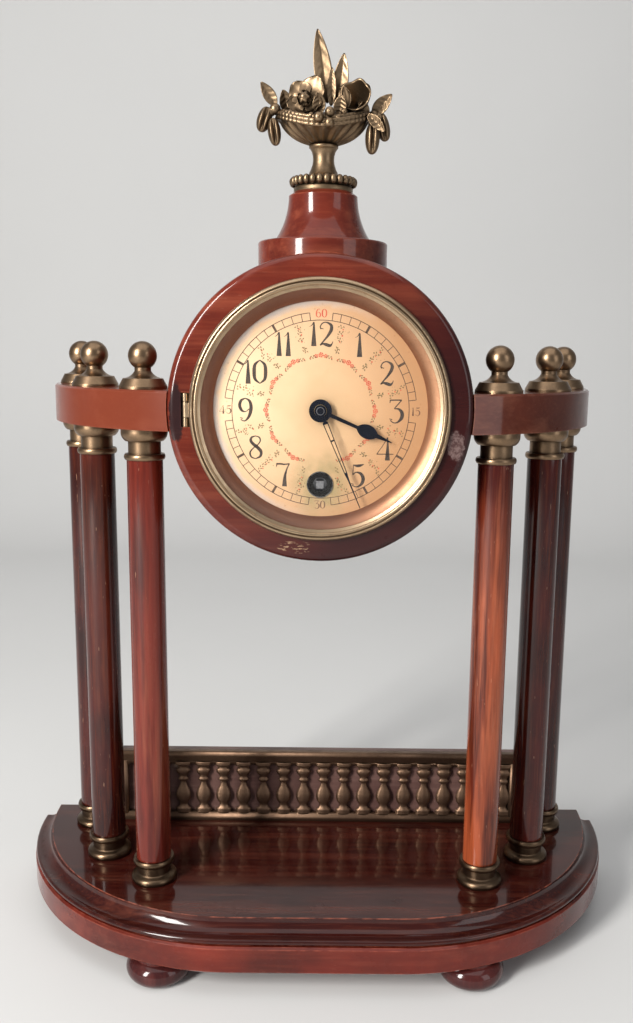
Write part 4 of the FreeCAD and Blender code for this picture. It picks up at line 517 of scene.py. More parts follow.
CLEAN_METALS = {
    "bright_brass": ((0.83, 0.61, 0.26), (0.60, 0.42, 0.18), dict(along=(1.0, 0.05, 1.0))),
    "steel": ((0.52, 0.52, 0.53), (0.30, 0.30, 0.31), {}),
    "spring_steel": ((0.16, 0.20, 0.30), (0.09, 0.10, 0.14), dict(rough=0.22)),
    "blued_steel": ((0.020, 0.024, 0.040), (0.010, 0.011, 0.018), dict(rough=0.3)),
}
for make, table in ((aged_brass, BRASSES), (clean_metal, CLEAN_METALS)):
    for name, (*numbers, settings) in table.items():
        materials[name] = make(name, *numbers, **settings)
print("made", len(materials), "woods and metals")

# %% [markdown]
# Dial card, glass and the black of the winding hole
#
# The dial is cream at the left, peach at the right, greenish below the winding hole, and rubbed to
# silver at the left margin. It could be one painted picture, but patches that are placed by their
# distance from the middle stay sharp from near by. The glass lets light through to the dial, and
# mirrors a little at a slant.

# %% The dial card
def from_centre(f, centre):
    """Values for the millimetres right of, above and away from a centre.

    The last is the root of the sum of the squares of the other two.
    """
    x = f.x - centre.x / MM
    z = f.z - centre.z / MM
    return x, z, (x * x + z * z) ** 0.5


def dial_card():
    """Each patch is a ramp on a distance: from the pale left, the middle, the hub or the winding hole."""
    f = Finish("dial_print")
    x, z, reach = from_centre(f, dial_centre)
    from_pale = ((x + 30.0) ** 2.0 + (z - 6.0) ** 2.0) ** 0.5
    colour = f.mix(from_pale.ramp(5.0, 62.0), (0.88, 0.62, 0.385), (0.44, 0.225, 0.098))
    colour = f.mix(reach.ramp(34.0, 4.0) * 0.35, colour, (0.56, 0.36, 0.17))
    colour = f.mix(reach.ramp(13.0, 4.0) * 0.3, colour, (0.36, 0.25, 0.12))
    clouds = f.noise(0.09, 5.0, EVEN, (4.0, 0.0, 1.0), 0.6)
    colour = f.mix(clouds.ramp(0.45, 0.7) * 0.2, colour, (0.50, 0.26, 0.11))
    below = z - (winding_centre.z - dial_centre.z) / MM
    stain = ((x * x + below * below * 0.7) ** 0.5).ramp(13.0, 5.0) * f.noise(0.2, 4.0).ramp(0.2, 0.6)
    colour = f.mix(stain * 0.75, colour, (0.24, 0.21, 0.085))
    margin = reach + f.noise(0.12, 4.0, EVEN, (9.0, 2.0, 5.0), 0.65) * 5.0
    rubbed = margin.ramp(39.2, 41.2) * (z * 0.35 - x).ramp(-10.0, 22.0)
    colour = f.mix(rubbed * 0.8, colour, (0.60, 0.52, 0.48))
    spots = f.specks(0.35).ramp(0.16, 0.04) * reach.ramp(30.0, 38.0) * 0.5
    colour = f.mix(spots, colour, (0.34, 0.15, 0.06))
    f.set(Base_Color=colour, Roughness=clouds * 0.15 + 0.46 - rubbed * 0.1, Metallic=rubbed * 0.5)
    f.bump(clouds + f.noise(1.5, 2.0) * 0.3, 0.03, 0.3)
    return f.material


materials["dial_print"] = dial_card()
print("the dial card has", len(materials["dial_print"].node_tree.nodes), "nodes")

# %% Glass and lining
def clear_glass():
    """Clear but for a thin sheen, which grows with the fifth power of the slant it is seen at."""
    f = Finish("clear_glass")
    smudge = f.noise(0.05, 4.0, EVEN, (2.0, 2.0, 2.0), 0.6)
    slant = Value(f, f.add("ShaderNodeLayerWeight", 0.5, out=1))
    f.set(Base_Color=(1.0, 1.0, 1.0), Metallic=1.0, Roughness=smudge.ramp(0.3, 0.8) * 0.05 + 0.015,
          Alpha=slant**5.0 * 0.9 + 0.025)
    return f.material


def black_lining():
    """Black, with a rim 4.8 mm from its middle that is rubbed to bare metal in places."""
    f = Finish("black_grommet")
    reach = from_centre(f, winding_centre)[2]
    rim = reach.bump_at(4.8, 0.3) * f.noise(0.8, 3.0).ramp(0.40, 0.55)
    colour = f.mix(rim, (0.006, 0.0055, 0.005), (0.30, 0.29, 0.27))
    f.set(Base_Color=colour, Metallic=rim * 0.9, Roughness=f.noise(1.0, 3.0) * 0.12 + 0.16,
          Specular_IOR_Level=0.15)
    f.bump(f.noise(2.0, 3.0), 0.02, 0.4)
    return f.material


materials["clear_glass"] = clear_glass()
materials["black_grommet"] = black_lining()

slots = {part["node"]: part["material_slot"] for part in frame["record"]["subparts"]}
# The nut of the hands has gone as dark as they are
slots["hand_nut"] = "blued_steel"
for name, node in frame["nodes"].items():
    node.data.materials.clear()
    node.data.materials.append(materials[slots[name]])
print("dressed", len(frame["nodes"]), "nodes in", len(materials), "materials")

# %% [markdown]
# Printing on the dial
#
# The print could be a picture on the card, but thin flat shapes just in front of it stay crisp. A
# place on the dial is a distance from the middle, in millimetres, and an angle in minutes. A
# numeral is drawn with strokes: each is a smooth line through a few points, and each point has its
# own half width, as an engraver's tool makes it.

# %% Shapes on the dial
PRINT_LIFT = 0.02 * MM


def on_dial(x, z):
    """Dial millimetres right and up of the middle, as points just in front of the dial."""
    x, y, z = np.broadcast_arrays(x, dial_low.y - PRINT_LIFT, z)
    return np.stack([dial_centre.x + x * MM, y, dial_centre.z + z * MM], -1)


def at_minute(reach, minute):
    """x and z at a minute: the reach times the sine and the cosine of its angle from 12."""
    turn = np.asarray(minute, float) * TURN / 60
    return reach * np.sin(turn), reach * np.cos(turn)


def ring_run(pieces, radius, width, first, last):
    """A stretch of a ring between two minutes: two arcs, half a width inside and outside its radius."""
    minutes = np.linspace(first, last, max(2, int(abs(last - first) * 3)))
    rows = [on_dial(*at_minute(radius + side * width / 2, minutes)) for side in (-1, 1)]
    pieces.grid(np.stack(rows), closed=False)


def radial_bar(pieces, minute, inner, outer, width):
    """A bar on a ray: its corners lie half a width to each side of the ray's two ends."""
    turn = minute * TURN / 60
    side = np.array([math.cos(turn), -math.sin(turn)]) * width / 2
    low = np.array(at_minute(inner, minute))
    high = np.array(at_minute(outer, minute))
    corners = np.stack([low - side, high - side, high + side, low + side])
    pieces.flat(on_dial(corners[:, 0], corners[:, 1]))


def disc(pieces, x, z, radius, corners, stretch=1.0, lean=0.0):
    """A round dot, or an oval one: a circle stretched along x, turned by lean and moved to x, z."""
    turn = np.linspace(0, TURN, corners, endpoint=False)
    a, b = radius * np.cos(turn) * stretch, radius * np.sin(turn)
    px = x + a * math.cos(lean) - b * math.sin(lean)
    pz = z + a * math.sin(lean) + b * math.cos(lean)
    pieces.flat(on_dial(px, pz))


print("10 mm out at 5 minutes:", np.round(at_minute(10, 5), 2))

# %% Strokes of the numerals
# Each numeral has its width, as a share of its height, and its strokes. A stroke is a run of points:
# x, z and half width, in hundredths of the height
NUMERALS = {
    "0": (0.60, (
        "30 98.5 1.5, 10 80 5, 6 50 6.2, 10 20 5, 30 1.5 1.5",
        "30 98.5 1.5, 50 80 5, 54 50 6.2, 50 20 5, 30 1.5 1.5",
    )),
    "1": (0.32, (
        "18.5 99 1.2, 18.5 90 2.8, 18.5 50 5.6, 18.5 0 9",
        "18 98.5 2, 10 86 1.3, 0 80 0.6",
    )),
    "2": (0.60, (
        "10 70 2, 7 80 2, 16 94 2, 33 98 2.2, 52 86 5, 52 66 5.8, 38 42 4, 20 20 2.5, 8 6 2",
        "6 4 2, 18 10 3, 32 7 5.5, 47 3 5, 56 10 2.2, 60 20 1.2",
        "13 71 5.5, 14 74.5 5.5",
    )),
    "3": (0.60, (
        "6 97 2.2, 30 97.5 2.2, 55 97.5 2.2",
        "6 99 1.6, 6 90 1.6, 5 84 0.8",
        "54 96.5 1.8, 38 78 1.8, 24 62 1.8",
        "24 61 1.4, 42 60 3.5, 56 46 6, 56 24 6.2, 40 5 3, 22 2 1.8, 8 12 2",
        "10 15 5.2, 11 18.5 5.2",
    )),
    "4": (0.70, (
        "47 99 1, 47 80 2.6, 47 40 5.4, 47 0 8.8",
        "46 98 1.4, 25 62 1.2, 2 28 1.2",
        "0 27 1.6, 35 27 1.6, 72 27 1.6",
    )),
    "5": (0.60, (
        "14 96 1.2, 28 92 4.5, 42 93.5 4.5, 58 98.5 1.2",
        "14 97 1.4, 13 75 1.4, 11 54 1.4",
        "11 53 1.4, 26 64 2.2, 46 58 5, 56 38 6.2, 50 15 5, 30 1.5 2, 8 8 1.8",
        "10 12 5, 11 15.5 5",
    )),
    "6": (0.60, (
        "50 90 2, 36 98 1.8, 16 82 4.5, 7 50 6, 10 18 5, 30 1.5 1.6",
        "30 1.5 1.6, 50 14 4.8, 54 34 5.5, 46 52 4, 30 58 1.6, 12 46 1.6",
    )),
    "7": (0.58, (
        "2 96.5 3, 20 96.5 3, 36 95 2.6, 58 97.5 2",
        "3 99 1.8, 2.5 88 1.4, 0 82 0.6",
        "57 98 1.8, 46 74 2.4, 38 42 5, 36 0 8.5",
    )),
    "8": (0.60, (
        "31 98.5 1.6, 14 92 3.5, 10 78 5, 20 64 5.5, 38 50 6, 53 32 5.5, 50 12 4, 30 1.5 1.6",
        "31 98.5 1.6, 46 92 2.5, 50 78 2.4, 40 62 1.8, 20 46 2, 7 28 3, 12 9 2.8, 30 1.5 1.6",
    )),
    "9": (0.60, (
        "30 98.5 1.6, 12 88 4.5, 6 68 5.5, 14 48 4.5, 30 42 1.6, 47 54 1.6",
        "30 98.5 1.6, 48 86 4.5, 54 58 6, 46 24 5, 28 3 2.2, 10 8 1.8",
        "13 13 4.8, 14 16.5 4.8",
    )),
}
print("the numerals have", sum(len(runs) for width, runs in NUMERALS.values()), "strokes")

# %% Numerals
# Every stroke is this much wider than its figures say
PEN = 1.22
STEPS = 14


def stroke(pieces, points, height, centre, width):
    """One stroke of a numeral. Points are x, z and half width as shares of the numeral's height.

    Its two edges lie half a width to each side of the line, at right angles to the way it runs.
    """
    line = smooth_curve(points, STEPS * (len(points) - 1))
    path = line[:, :2]
    along = np.gradient(path, axis=0)
    along /= np.maximum(np.linalg.norm(along, axis=1, keepdims=True), 1e-9)
    side = np.stack([-along[:, 1], along[:, 0]], -1) * np.abs(line[:, 2:3]) * PEN
    edges = np.stack([path - side, path + side])
    x = (edges[..., 0] - width / 2) * height + centre[0]
    z = (edges[..., 1] - 0.5) * height + centre[1]
    pieces.grid(on_dial(x, z), closed=False)


def numeral(pieces, text, centre, height, gap=0.06):
    """A number of one or two figures, upright, with its middle at centre."""
    widths = [NUMERALS[figure][0] for figure in text]
    start = -(sum(widths) + gap * (len(text) - 1)) / 2
    for figure, width in zip(text, widths):
        middle = (centre[0] + (start + width / 2) * height, centre[1])
        for run in NUMERALS[figure][1]:
            points = np.array([point.split() for point in run.split(",")], float) / 100
            stroke(pieces, points, height, middle, width)
        start += width + gap


print("a stroke takes", STEPS, "steps from point to point")

# %% Track and numbers
# Sizes of the print in millimetres
TRACK_OUTER = 35.3
TRACK_INNER = 32.55
TRACK_LINE = 0.27
HOUR_BAR = 0.9
HOUR_HEIGHT = 8.7
HOUR_REACH = 27.6
SMALL_HEIGHT = 3.1
SMALL_REACH = 35.0
# The track leaves this many minutes free on each side of the small numbers
SMALL_GAP = 1.15

track = Pieces()
ring_run(track, TRACK_INNER, TRACK_LINE, 0, 60)
for quarter in range(0, 60, 15):
    ring_run(track, TRACK_OUTER, TRACK_LINE, quarter + SMALL_GAP, quarter + 15 - SMALL_GAP)
    for edge in (-SMALL_GAP, SMALL_GAP):
        radial_bar(track, quarter + edge, TRACK_INNER, TRACK_OUTER, TRACK_LINE)
for minute in range(60):
    if minute % 15 not in (0, 1, 14):
        radial_bar(track, minute, TRACK_INNER, TRACK_OUTER, TRACK_LINE * 0.9 if minute % 5 else HOUR_BAR)

hours = Pieces()
for hour in range(1, 13):
    if hour != 6:
        numeral(hours, str(hour), at_minute(HOUR_REACH, hour * 5), HOUR_HEIGHT)

small, small_red = Pieces(), Pieces()
for minute in (15, 30, 45, 60):
    pieces = small_red if minute == 60 else small
    numeral(pieces, str(minute), at_minute(SMALL_REACH, minute), SMALL_HEIGHT, gap=0.1)
print("the hours have", len(hours.faces), "faces")

# %% [markdown]
# Garlands on the dial
#
# A short garland lies inside each hour: small red roses with buds, and faded green leaves, along
# an arc. Between the hours are thin sprays. Curves could draw them, but at this size dots are all
# it takes. A fixed seed keeps every run alike.

# %% Roses and leaves
rng = np.random.default_rng(11)
roses, foliage = Pieces(), Pieces()


def rose(reach, minute, radius):
    """A rose as petals round a heart, with gaps in between that show the card."""
    x, z = at_minute(reach, minute)
    disc(roses, x, z, radius * 0.34, 9)
    start = rng.uniform(0, TURN)
    for k in range(6):
        turn = start + TURN * k / 6
        a, b = radius * 0.72 * math.cos(turn), radius * 0.72 * math.sin(turn)
        disc(roses, x + a, z + b, radius * 0.27, 8, 1.35, turn + math.pi / 2)


def sprig(reach, minute, lean, count, length):
    """Small leaves on both sides of a short curved stem. lean is its angle on the dial."""
    x, z = at_minute(reach, minute)
    for k in range(count):
        way = 1 if k % 2 else -1
        along = (k / (count - 1) - 0.5) * length
        side = 0.34 * way
        px = x + along * math.cos(lean) - side * math.sin(lean)
        pz = z + along * math.sin(lean) + side * math.cos(lean) - 0.12 * along**2 / length
        disc(foliage, px, pz, 0.21, 8, 1.9, lean + 0.7 * way)


GARLAND_REACH = 19.9
UPPER_SPRIG = 22.7
for hour in range(12):
    if hour == 6:
        continue
    minute = hour * 5
    tangent = -minute * TURN / 60
    rose(GARLAND_REACH + 0.25, minute, 0.98)
    for side in (-1, 1):
        rose(GARLAND_REACH - 0.1, minute + side * 0.82, 0.78)
    for side in (-1, 1):
        sprig(GARLAND_REACH - 0.35, minute + side * 1.5, tangent - side * 0.35, 5, 2.0)
        sprig(UPPER_SPRIG, minute + side * 2.5 * 0.95, tangent + 1.2 * side, 4, 1.8)
        disc(roses, *at_minute(GARLAND_REACH - 0.5, minute + side * 1.95), 0.26, 8)
print("garlands of", len(roses.faces), "petals and", len(foliage.faces), "leaves")

# %% Sprays between the hours
SPRAY_REACH = 27.9
for hour in range(12):
    middle = hour * 5 + 2.5
    for lift in (-2.2, 0.2, 2.4):
        place = at_minute(SPRAY_REACH + lift, middle + rng.normal(0, 0.12))
        disc(roses, *place, rng.uniform(0.22, 0.34), 8)
        sprig(SPRAY_REACH + lift + 0.8, middle + rng.normal(0, 0.2), rng.uniform(0, 3), 4, 1.7)
    for _ in range(10):
        x, z = at_minute(rng.normal(27.6, 1.7), middle + rng.normal(0, 0.38))
        disc(foliage, x, z, rng.uniform(0.09, 0.17), 7, rng.uniform(1.0, 1.8), rng.uniform(0, 3))
print("with sprays,", len(roses.faces), "and", len(foliage.faces))

# %% Ink
def ink(name, colour, faded):
    """Printing ink that has faded in patches."""
    f = Finish(name)
    clouds = f.noise(0.5, 4.0, EVEN, (1.0, 6.0, 2.0), 0.65)
    f.set(Base_Color=f.mix(clouds.ramp(0.38, 0.72), colour, faded), Roughness=clouds * 0.1 + 0.5)
    f.bump(clouds, 0.01, 0.2)
    return f.material


red_ink = ink("red_ink", (0.50, 0.045, 0.020), (0.60, 0.13, 0.055))
for pieces, name, material in (
    (track, "dial_track", ink("track_ink", (0.060, 0.030, 0.016), (0.12, 0.066, 0.034))),
    (hours, "dial_hours", ink("dark_ink", (0.028, 0.018, 0.013), (0.075, 0.045, 0.028))),
    (small, "dial_small_numbers", ink("pale_ink", (0.10, 0.045, 0.022), (0.18, 0.088, 0.042))),
    (small_red, "dial_sixty", red_ink),
    (roses, "dial_roses", red_ink),
    (foliage, "dial_leaves", ink("leaf_ink", (0.12, 0.085, 0.030), (0.27, 0.18, 0.072))),
):
    thing = pieces.build(name, solid=False)
    thing.data.materials.append(material)
    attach(thing, "case")
    print("printed", name)

# %% [markdown]
# The balustrade
#
# The casting is a row of fat balusters in low relief, with a small arch between each pair and a
# moulded rail above and below. An array could copy one baluster. Here a loop does, and leaves out
# those that would run past the ends. A baluster is turned and then flattened.

# %% Rails
gallery_low, gallery_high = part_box("gallery_balustrade")
gallery_half = (gallery_high.x - gallery_low.x) / 2 / MM
gallery_x = (gallery_high.x + gallery_low.x) / 2 / MM
front, back = gallery_low.y / MM, gallery_high.y / MM
foot, top = gallery_low.z / MM, gallery_high.z / MM
gallery = Pieces()
for profile in (
    [(back, foot), (front, foot), (front, foot + 2.3), (front + 0.7, foot + 2.9), (front + 0.9, foot + 3.6),
     (back, foot + 3.6)],
    [(back, top - 5.4), (front + 1.3, top - 5.4), (front + 0.6, top - 4.7), (front + 0.6, top - 3.0),
     (front + 0.15, top - 2.4), (front, top - 1.5), (front + 0.2, top - 0.3), (front + 0.8, top),
     (back, top)],
):
    ends = [np.insert(profile, 0, gallery_x + side * gallery_half, 1) for side in (-1, 1)]
    gallery.grid(np.stack(ends) * MM)
print("the rails are", round(2 * gallery_half, 1), "mm long")

# %% Balusters
# The radius and the height of each row, the height as a share
BALUSTER = np.array([
    (3.5, 0.0), (3.5, 0.09), (2.5, 0.11), (1.7, 0.15), (1.9, 0.19), (2.9, 0.25), (3.35, 0.32), (3.3, 0.38),
    (2.6, 0.46), (1.6, 0.53), (1.25, 0.58), (1.3, 0.62), (2.3, 0.63), (2.4, 0.67), (1.6, 0.69), (1.9, 0.73),
    (3.1, 0.79), (3.3, 0.84), (2.4, 0.87), (2.5, 0.91), (3.9, 0.93), (4.0, 1.0),
])
BALUSTER_WIDEST = 4.1
BALUSTER_ROOM = 4.2
PITCH = 9.28
OFFSET = 2.1
# The balusters run a little way into both rails
low_z, high_z = foot + 3.3, top - 5.2
rows = np.linspace(0, 1, 60)
radii = np.interp(rows, BALUSTER[:, 1], BALUSTER[:, 0])
turned = lathe(radii, low_z + (high_z - low_z) * rows, 28, 0.035, 8)
turned[..., 1] *= ((back - front) / 2 - 0.25) / BALUSTER_WIDEST
count = int(gallery_half // PITCH) + 1
for index in range(-count, count + 1):
    x = index * PITCH + OFFSET
    if abs(x) + BALUSTER_ROOM <= gallery_half:
        gallery.grid((turned + np.array([x, (front + back) / 2, 0.0])) * MM)
print("the balusters are", round(high_z - low_z, 1), "mm high")

# %% Arches
ARCH_HALF = 2.7
ARCH_RISE = 3.2
ARCH_FOOT = 4.2
PANEL_HALF = 3.4
ARCH_INSET = 1.0
turn = np.linspace(0, math.pi, 15)


def arch_row(x, y, z):
    """A row of points. The arch is half an ellipse: x by the cosine of the turn and z by its sine."""
    return np.stack(np.broadcast_arrays(x, y, z), -1)


for index in range(-count, count):
    x = (index + 0.5) * PITCH + OFFSET
    if abs(x) + PANEL_HALF <= gallery_half:
        arch = (x - ARCH_HALF * np.cos(turn), high_z - ARCH_FOOT + ARCH_RISE * np.sin(turn))
        far = arch_row(arch[0], back - 0.1, arch[1])
        near = arch_row(arch[0], front + ARCH_INSET, arch[1])
        above = arch_row(np.linspace(x - PANEL_HALF, x + PANEL_HALF, 15), front + ARCH_INSET, high_z + 0.4)
        gallery.grid(np.stack([far, near, above]) * MM, closed=False)
print("an arch is", 2 * ARCH_HALF, "mm wide")

# %% Posts at both ends
POST_WIDTH = 4.3
for side in (-1, 1):
    outer = gallery_x + side * (gallery_half - 0.1)
    inner = outer - side * POST_WIDTH
    post = np.array([(inner, back), (inner, front + 1.0), (inner + side * 0.6, front + 0.5),
                     (outer - side * 0.6, front + 0.5), (outer, front + 1.0), (outer, back)])
    gallery.grid(np.stack([np.insert(post, 2, z, 1) for z in (low_z - 0.5, high_z + 0.5)]) * MM)

balustrade = gallery.build("cast_balustrade")
balustrade.data.materials.append(materials["gallery_brass"])
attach(balustrade, "case")
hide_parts("gallery_balustrade")
print("cast the balustrade with", len(balustrade.data.polygons), "faces")

# %% [markdown]
# The flower basket
#
# The casting on top is one piece: a turned stem with a ring of beads, a ribbed boat-shaped bowl,
# two flowers, berries, leaves and hanging pods. Sculpting would give softer forms, but a formula
# for a petal or a leaf can be read, and changed by a number. Places are in millimetres from the
# middle of the plinth's top.

# %% Places on the plinth
plinth_low, plinth_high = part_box("finial_plinth")
urn_base = Vector((0.0, (plinth_low.y + plinth_high.y) / 2, plinth_high.z))
basket = Pieces()


def placed(points, x=0.0, y=0.0, z=0.0, turn=None):
    """Local millimetres, turned by a matrix, moved and put on the plinth, in metres."""
    if turn is not None:
        points = points @ np.array(turn.to_3x3()).T
    return (points + np.array([x, y, z])) * MM + np.array(urn_base)


def about(axis, degrees):
    """A turn about one axis, as a matrix."""
    return Matrix.Rotation(math.radians(degrees), 3, axis)


def ball(x, y, z, radius, rows=10, columns=16, squash=1.0):
    """A ball as a lathe: radii by the sine and heights by the cosine of an angle from pole to pole."""
    across = np.linspace(0.02, math.pi - 0.02, rows)
    basket.grid(placed(lathe(radius * np.sin(across), -radius * squash * np.cos(across), columns), x, y, z))


print("the basket stands", round(urn_base.z / MM, 1), "mm above the floor")

# %% Stem and beads
STEM = np.array([
    (2.0, -0.2), (10.9, -0.2), (11.1, 0.2), (11.1, 1.5), (10.8, 1.9), (10.2, 2.0), (10.2, 2.3), (10.9, 2.6),
    (11.5, 3.2), (11.5, 4.2), (10.9, 4.9), (9.6, 5.2), (7.0, 5.4), (6.1, 6.0), (5.5, 6.8), (4.8, 8.2),
    (4.2, 9.9), (3.95, 11.5), (4.05, 13.2), (4.5, 14.8), (5.1, 15.7), (5.45, 16.0), (5.45, 16.7),
    (4.9, 17.0),
])
basket.grid(placed(lathe(STEM[:, 0], STEM[:, 1], 96)))
BEADS = 28
BEAD_REACH = 11.5
for index in range(BEADS):
    turn = TURN * (index + 0.5) / BEADS
    ball(BEAD_REACH * math.cos(turn), BEAD_REACH * math.sin(turn), 3.7, 1.3, 9, 12, 1.3)
print("the stem has", BEADS, "beads round it")

# %% Bowl
DEPTH_SHARE = 0.62


def boat(reach, lift_front, lift_end, columns=192, wave=0.0, waves=0):
    """Rows round the boat: each has a reach, a height at its front and back and one at its ends.

    The height goes from the first to the second with the square of the cosine of the turn.
    """
    rows = lathe(reach, np.zeros(len(reach)), columns, wave, waves)
    turn = np.linspace(0, TURN, columns, endpoint=False)[None, :]
    rows[..., 1] *= DEPTH_SHARE
    rows[..., 2] = lift_front[:, None] + (lift_end - lift_front)[:, None] * np.cos(turn) ** 2
    return rows


# The reach grows evenly from the stem to the rim. The ribs deepen and fade as a sine
t = np.linspace(0, 1, 30)
flute = 0.075 * np.sin(math.pi * np.clip(t * 1.05, 0, 1)) ** 0.6
basket.grid(placed(boat(4.6 + 12.4 * t, 16.7 + 5.3 * t**1.25, 16.7 + 4.2 * t + 5.4 * t**3, 192, flute, 20)))
# Three corded bands round the rim: a small ring is carried round the boat, and 56 waves run along it
cord = 1 + 0.05 * np.cos(56 * np.linspace(0, TURN, 160, endpoint=False))[None, :, None]
ring = np.linspace(0, TURN, 10, endpoint=False)
for reach, middle, ends, thick in (
    (17.0, 22.2, 26.5, 0.8), (16.9, 23.6, 27.9, 0.85), (15.9, 24.9, 28.6, 0.75),
):
    out, up = thick * np.cos(ring), thick * np.sin(ring)
    band = boat(reach + out, middle + up, ends + up, 160)
    band[..., :2] *= cord**0.4
    basket.grid(placed(np.concatenate([band, band[:1]])), caps=False)
# The bed that the flowers lie on
t = np.linspace(0.02, 1, 12)
basket.grid(placed(boat(16.0 * t, 28.5 - 3.8 * t**2, 28.5 - 0.5 * t**2, 64, 0.03, 9)))
print("stem and bowl have", len(basket.faces), "faces")

# %% Petals
def petal(angle, length, half, cup, x, y, z, turn, start=1.0, thickness=0.8):
    """A round petal that grows outwards from a flower's heart, at an angle from the right.

    t runs from heart to rim and s from side to side. Its half width swells and narrows as a sine of
    t. It comes forward by cup times t to the power 1.5, and more towards its sides, with a fold
    down its middle and fine waves at its rim.
    """
    t = np.linspace(0, 1, 18)[:, None]
    s = np.linspace(-1, 1, 19)[None, :]
    across = half * np.sin(math.pi * (0.14 + 0.80 * t)) ** 0.6 * np.sin(s * math.pi / 2)
    along = start + length * t * (1 - 0.12 * s**2)
    ripple = 0.10 * np.cos(s * 10 + 1.0) * t - 0.35 * np.exp(-(s / 0.16) ** 2) * (1 - t) ** 0.5
    lift = -cup * (t**1.5 + 0.55 * s**2 * t) + 1.3 * np.sin(math.pi * t * 0.8) - ripple
    turn_in = math.radians(angle)
    px = along * math.cos(turn_in) - across * math.sin(turn_in)
    pz = along * math.sin(turn_in) + across * math.cos(turn_in)
    front = np.stack([px, lift + 0 * px, pz], -1)
    back = front + np.array([0.0, thickness, 0.0])
    basket.grid(placed(np.concatenate([front, back[:, ::-1]], 1), x, y, z, turn))


def rosette(radius, knobs, x, y, z, turn, lift):
    """A low crown of knobs that faces the front: a dome, 0.65 of its radius high, with flutes."""
    across = np.linspace(0.05, math.pi / 2, 10)
    wave = 0.16 * np.sin(across) ** 2
    crown = lathe(radius * np.sin(across), radius * 0.65 * np.cos(across), 60, wave, knobs)
    crown = crown @ np.array(about("X", 90).to_3x3()).T + np.array([0, lift, 0])
    basket.grid(placed(crown, x, y, z, turn))


# The open flower at the left has five petals round five small ones and two crowns
lean = about("Z", -14) @ about("X", -12)
x, y, z = -6.9, -6.0, 31.8
for angle, length, half, cup in ((61, 8.4, 4.9, 0.7), (128, 7.2, 4.6, 0.5), (196, 6.0, 4.0, 0.7),
                                 (264, 4.3, 3.8, 1.4), (342, 5.6, 4.2, 1.0)):
    petal(angle, length, half, cup, x, y, z, lean)
for angle in (20, 92, 164, 236, 308):
    petal(angle, 2.5, 1.9, 1.2, x, y - 1.2, z, lean, 0.5, 0.6)
rosette(2.0, 6, x, y, z, lean, -1.6)
rosette(1.0, 5, x, y, z, lean, -2.6)
print("the basket so far:", len(basket.faces), "faces")

# %% Cup flower
# The right flower is a fluted cup that faces the front left, with loose petals beside it
CUP_HEIGHT = 8.0
t = np.linspace(0, 1, 20)
outside = lathe(2.2 + 3.7 * t**0.75, CUP_HEIGHT * t, 60, 0.05 * t, 5)
inside = lathe((0.8 + 4.5 * t**0.7)[::-1], (1.2 + 6.7 * t)[::-1], 60, (0.05 * t)[::-1], 5)
cup = np.concatenate([outside, inside])
share = np.clip(cup[..., 2] / CUP_HEIGHT, 0, 1)
cup[..., 2] += 0.5 * np.cos(5 * np.arctan2(cup[..., 1], cup[..., 0])) * share**3
basket.grid(placed(cup, 13.4, 1.6, 31.6, about("Z", -16) @ about("X", 76)))
ball(13.0, 0.2, 31.6, 1.2, squash=0.9)
lean = about("Z", -34) @ about("X", -6)
petal(98, 8.6, 2.9, 0.8, 7.2, -5.4, 28.6, lean, 0.2)
petal(140, 5.0, 2.6, 0.8, 7.6, -4.4, 29.0, lean, 0.2)
petal(-38, 5.2, 3.0, -0.6, 12.4, -6.2, 30.2, about("Z", 12), 0.6)
petal(60, 5.0, 3.0, 0.8, 13.4, -0.8, 34.0, about("Z", 6), 0.4)
print("the basket so far:", len(basket.faces), "faces")

# %% Leaves
VEINS = 5
FOLD = 0.35


def leaf(length, width, curl, twist, x, y, z, turn):
    """A leaf that grows along Z from its foot. curl bends its tip towards -Y, in millimetres.

    t runs from foot to tip and s from side to side. Its half width is a sine of t, it bends by curl
    times t squared, folds forward with its distance from the middle, and twists evenly along t.
    Veins are a wave along t that bends back towards the sides.
    """
    t = np.linspace(0, 1, 26)[:, None]
    s = np.linspace(-1, 1, 13)[None, :]
    half = width * np.sin(math.pi * t**0.85) ** 0.8 + 0.25
    vein = 0.16 * np.cos((t * VEINS * 2 + np.abs(s) * 1.6) * math.pi) * (1 - np.abs(s)) ** 0.3
    px = half * s
    py = vein - curl * t**2 - FOLD * half * np.abs(s)
    spin = np.radians(twist) * t
    qx = px * np.cos(spin) - py * np.sin(spin)
    qy = px * np.sin(spin) + py * np.cos(spin)
    front = np.stack([qx, qy, length * t + 0 * s], -1)
    back = front.copy()
    back[..., 1] += 1.1 * (1 - s**2) * np.sin(math.pi * t) ** 0.5 + 0.25
    basket.grid(placed(np.concatenate([front, back[:, ::-1]], 1), x, y, z, turn))


# Length, half width, curl, twist, x, y, z and lean about Y
for *numbers, lean in (
    (25.6, 3.1, 1.0, 10.0, 1.2, 0.6, 32.0, -9.0),
    (18.5, 2.7, 1.4, -12.0, 4.8, -0.6, 30.4, 8.5),
    (13.0, 1.5, 1.0, 0.0, 2.6, -1.6, 30.6, 1.0),
    (9.6, 2.1, 1.2, 16.0, -17.6, -1.6, 30.4, -37.0),
    (10.0, 2.4, 1.2, -16.0, 17.8, -1.4, 27.6, 47.0),
    (8.5, 2.4, 1.8, 10.0, -12.6, 1.4, 28.2, -20.0),
    (9.0, 2.4, 1.8, -10.0, 9.4, 2.6, 28.6, 24.0),
    (7.0, 2.2, 2.2, 15.0, -1.2, -6.6, 26.6, -12.0),
    (6.5, 2.2, 2.2, -15.0, 5.2, -6.4, 26.4, 16.0),
    (8.6, 1.7, 1.6, 30.0, 16.0, -5.6, 26.8, 128.0),
):
    leaf(*numbers, about("Y", lean))
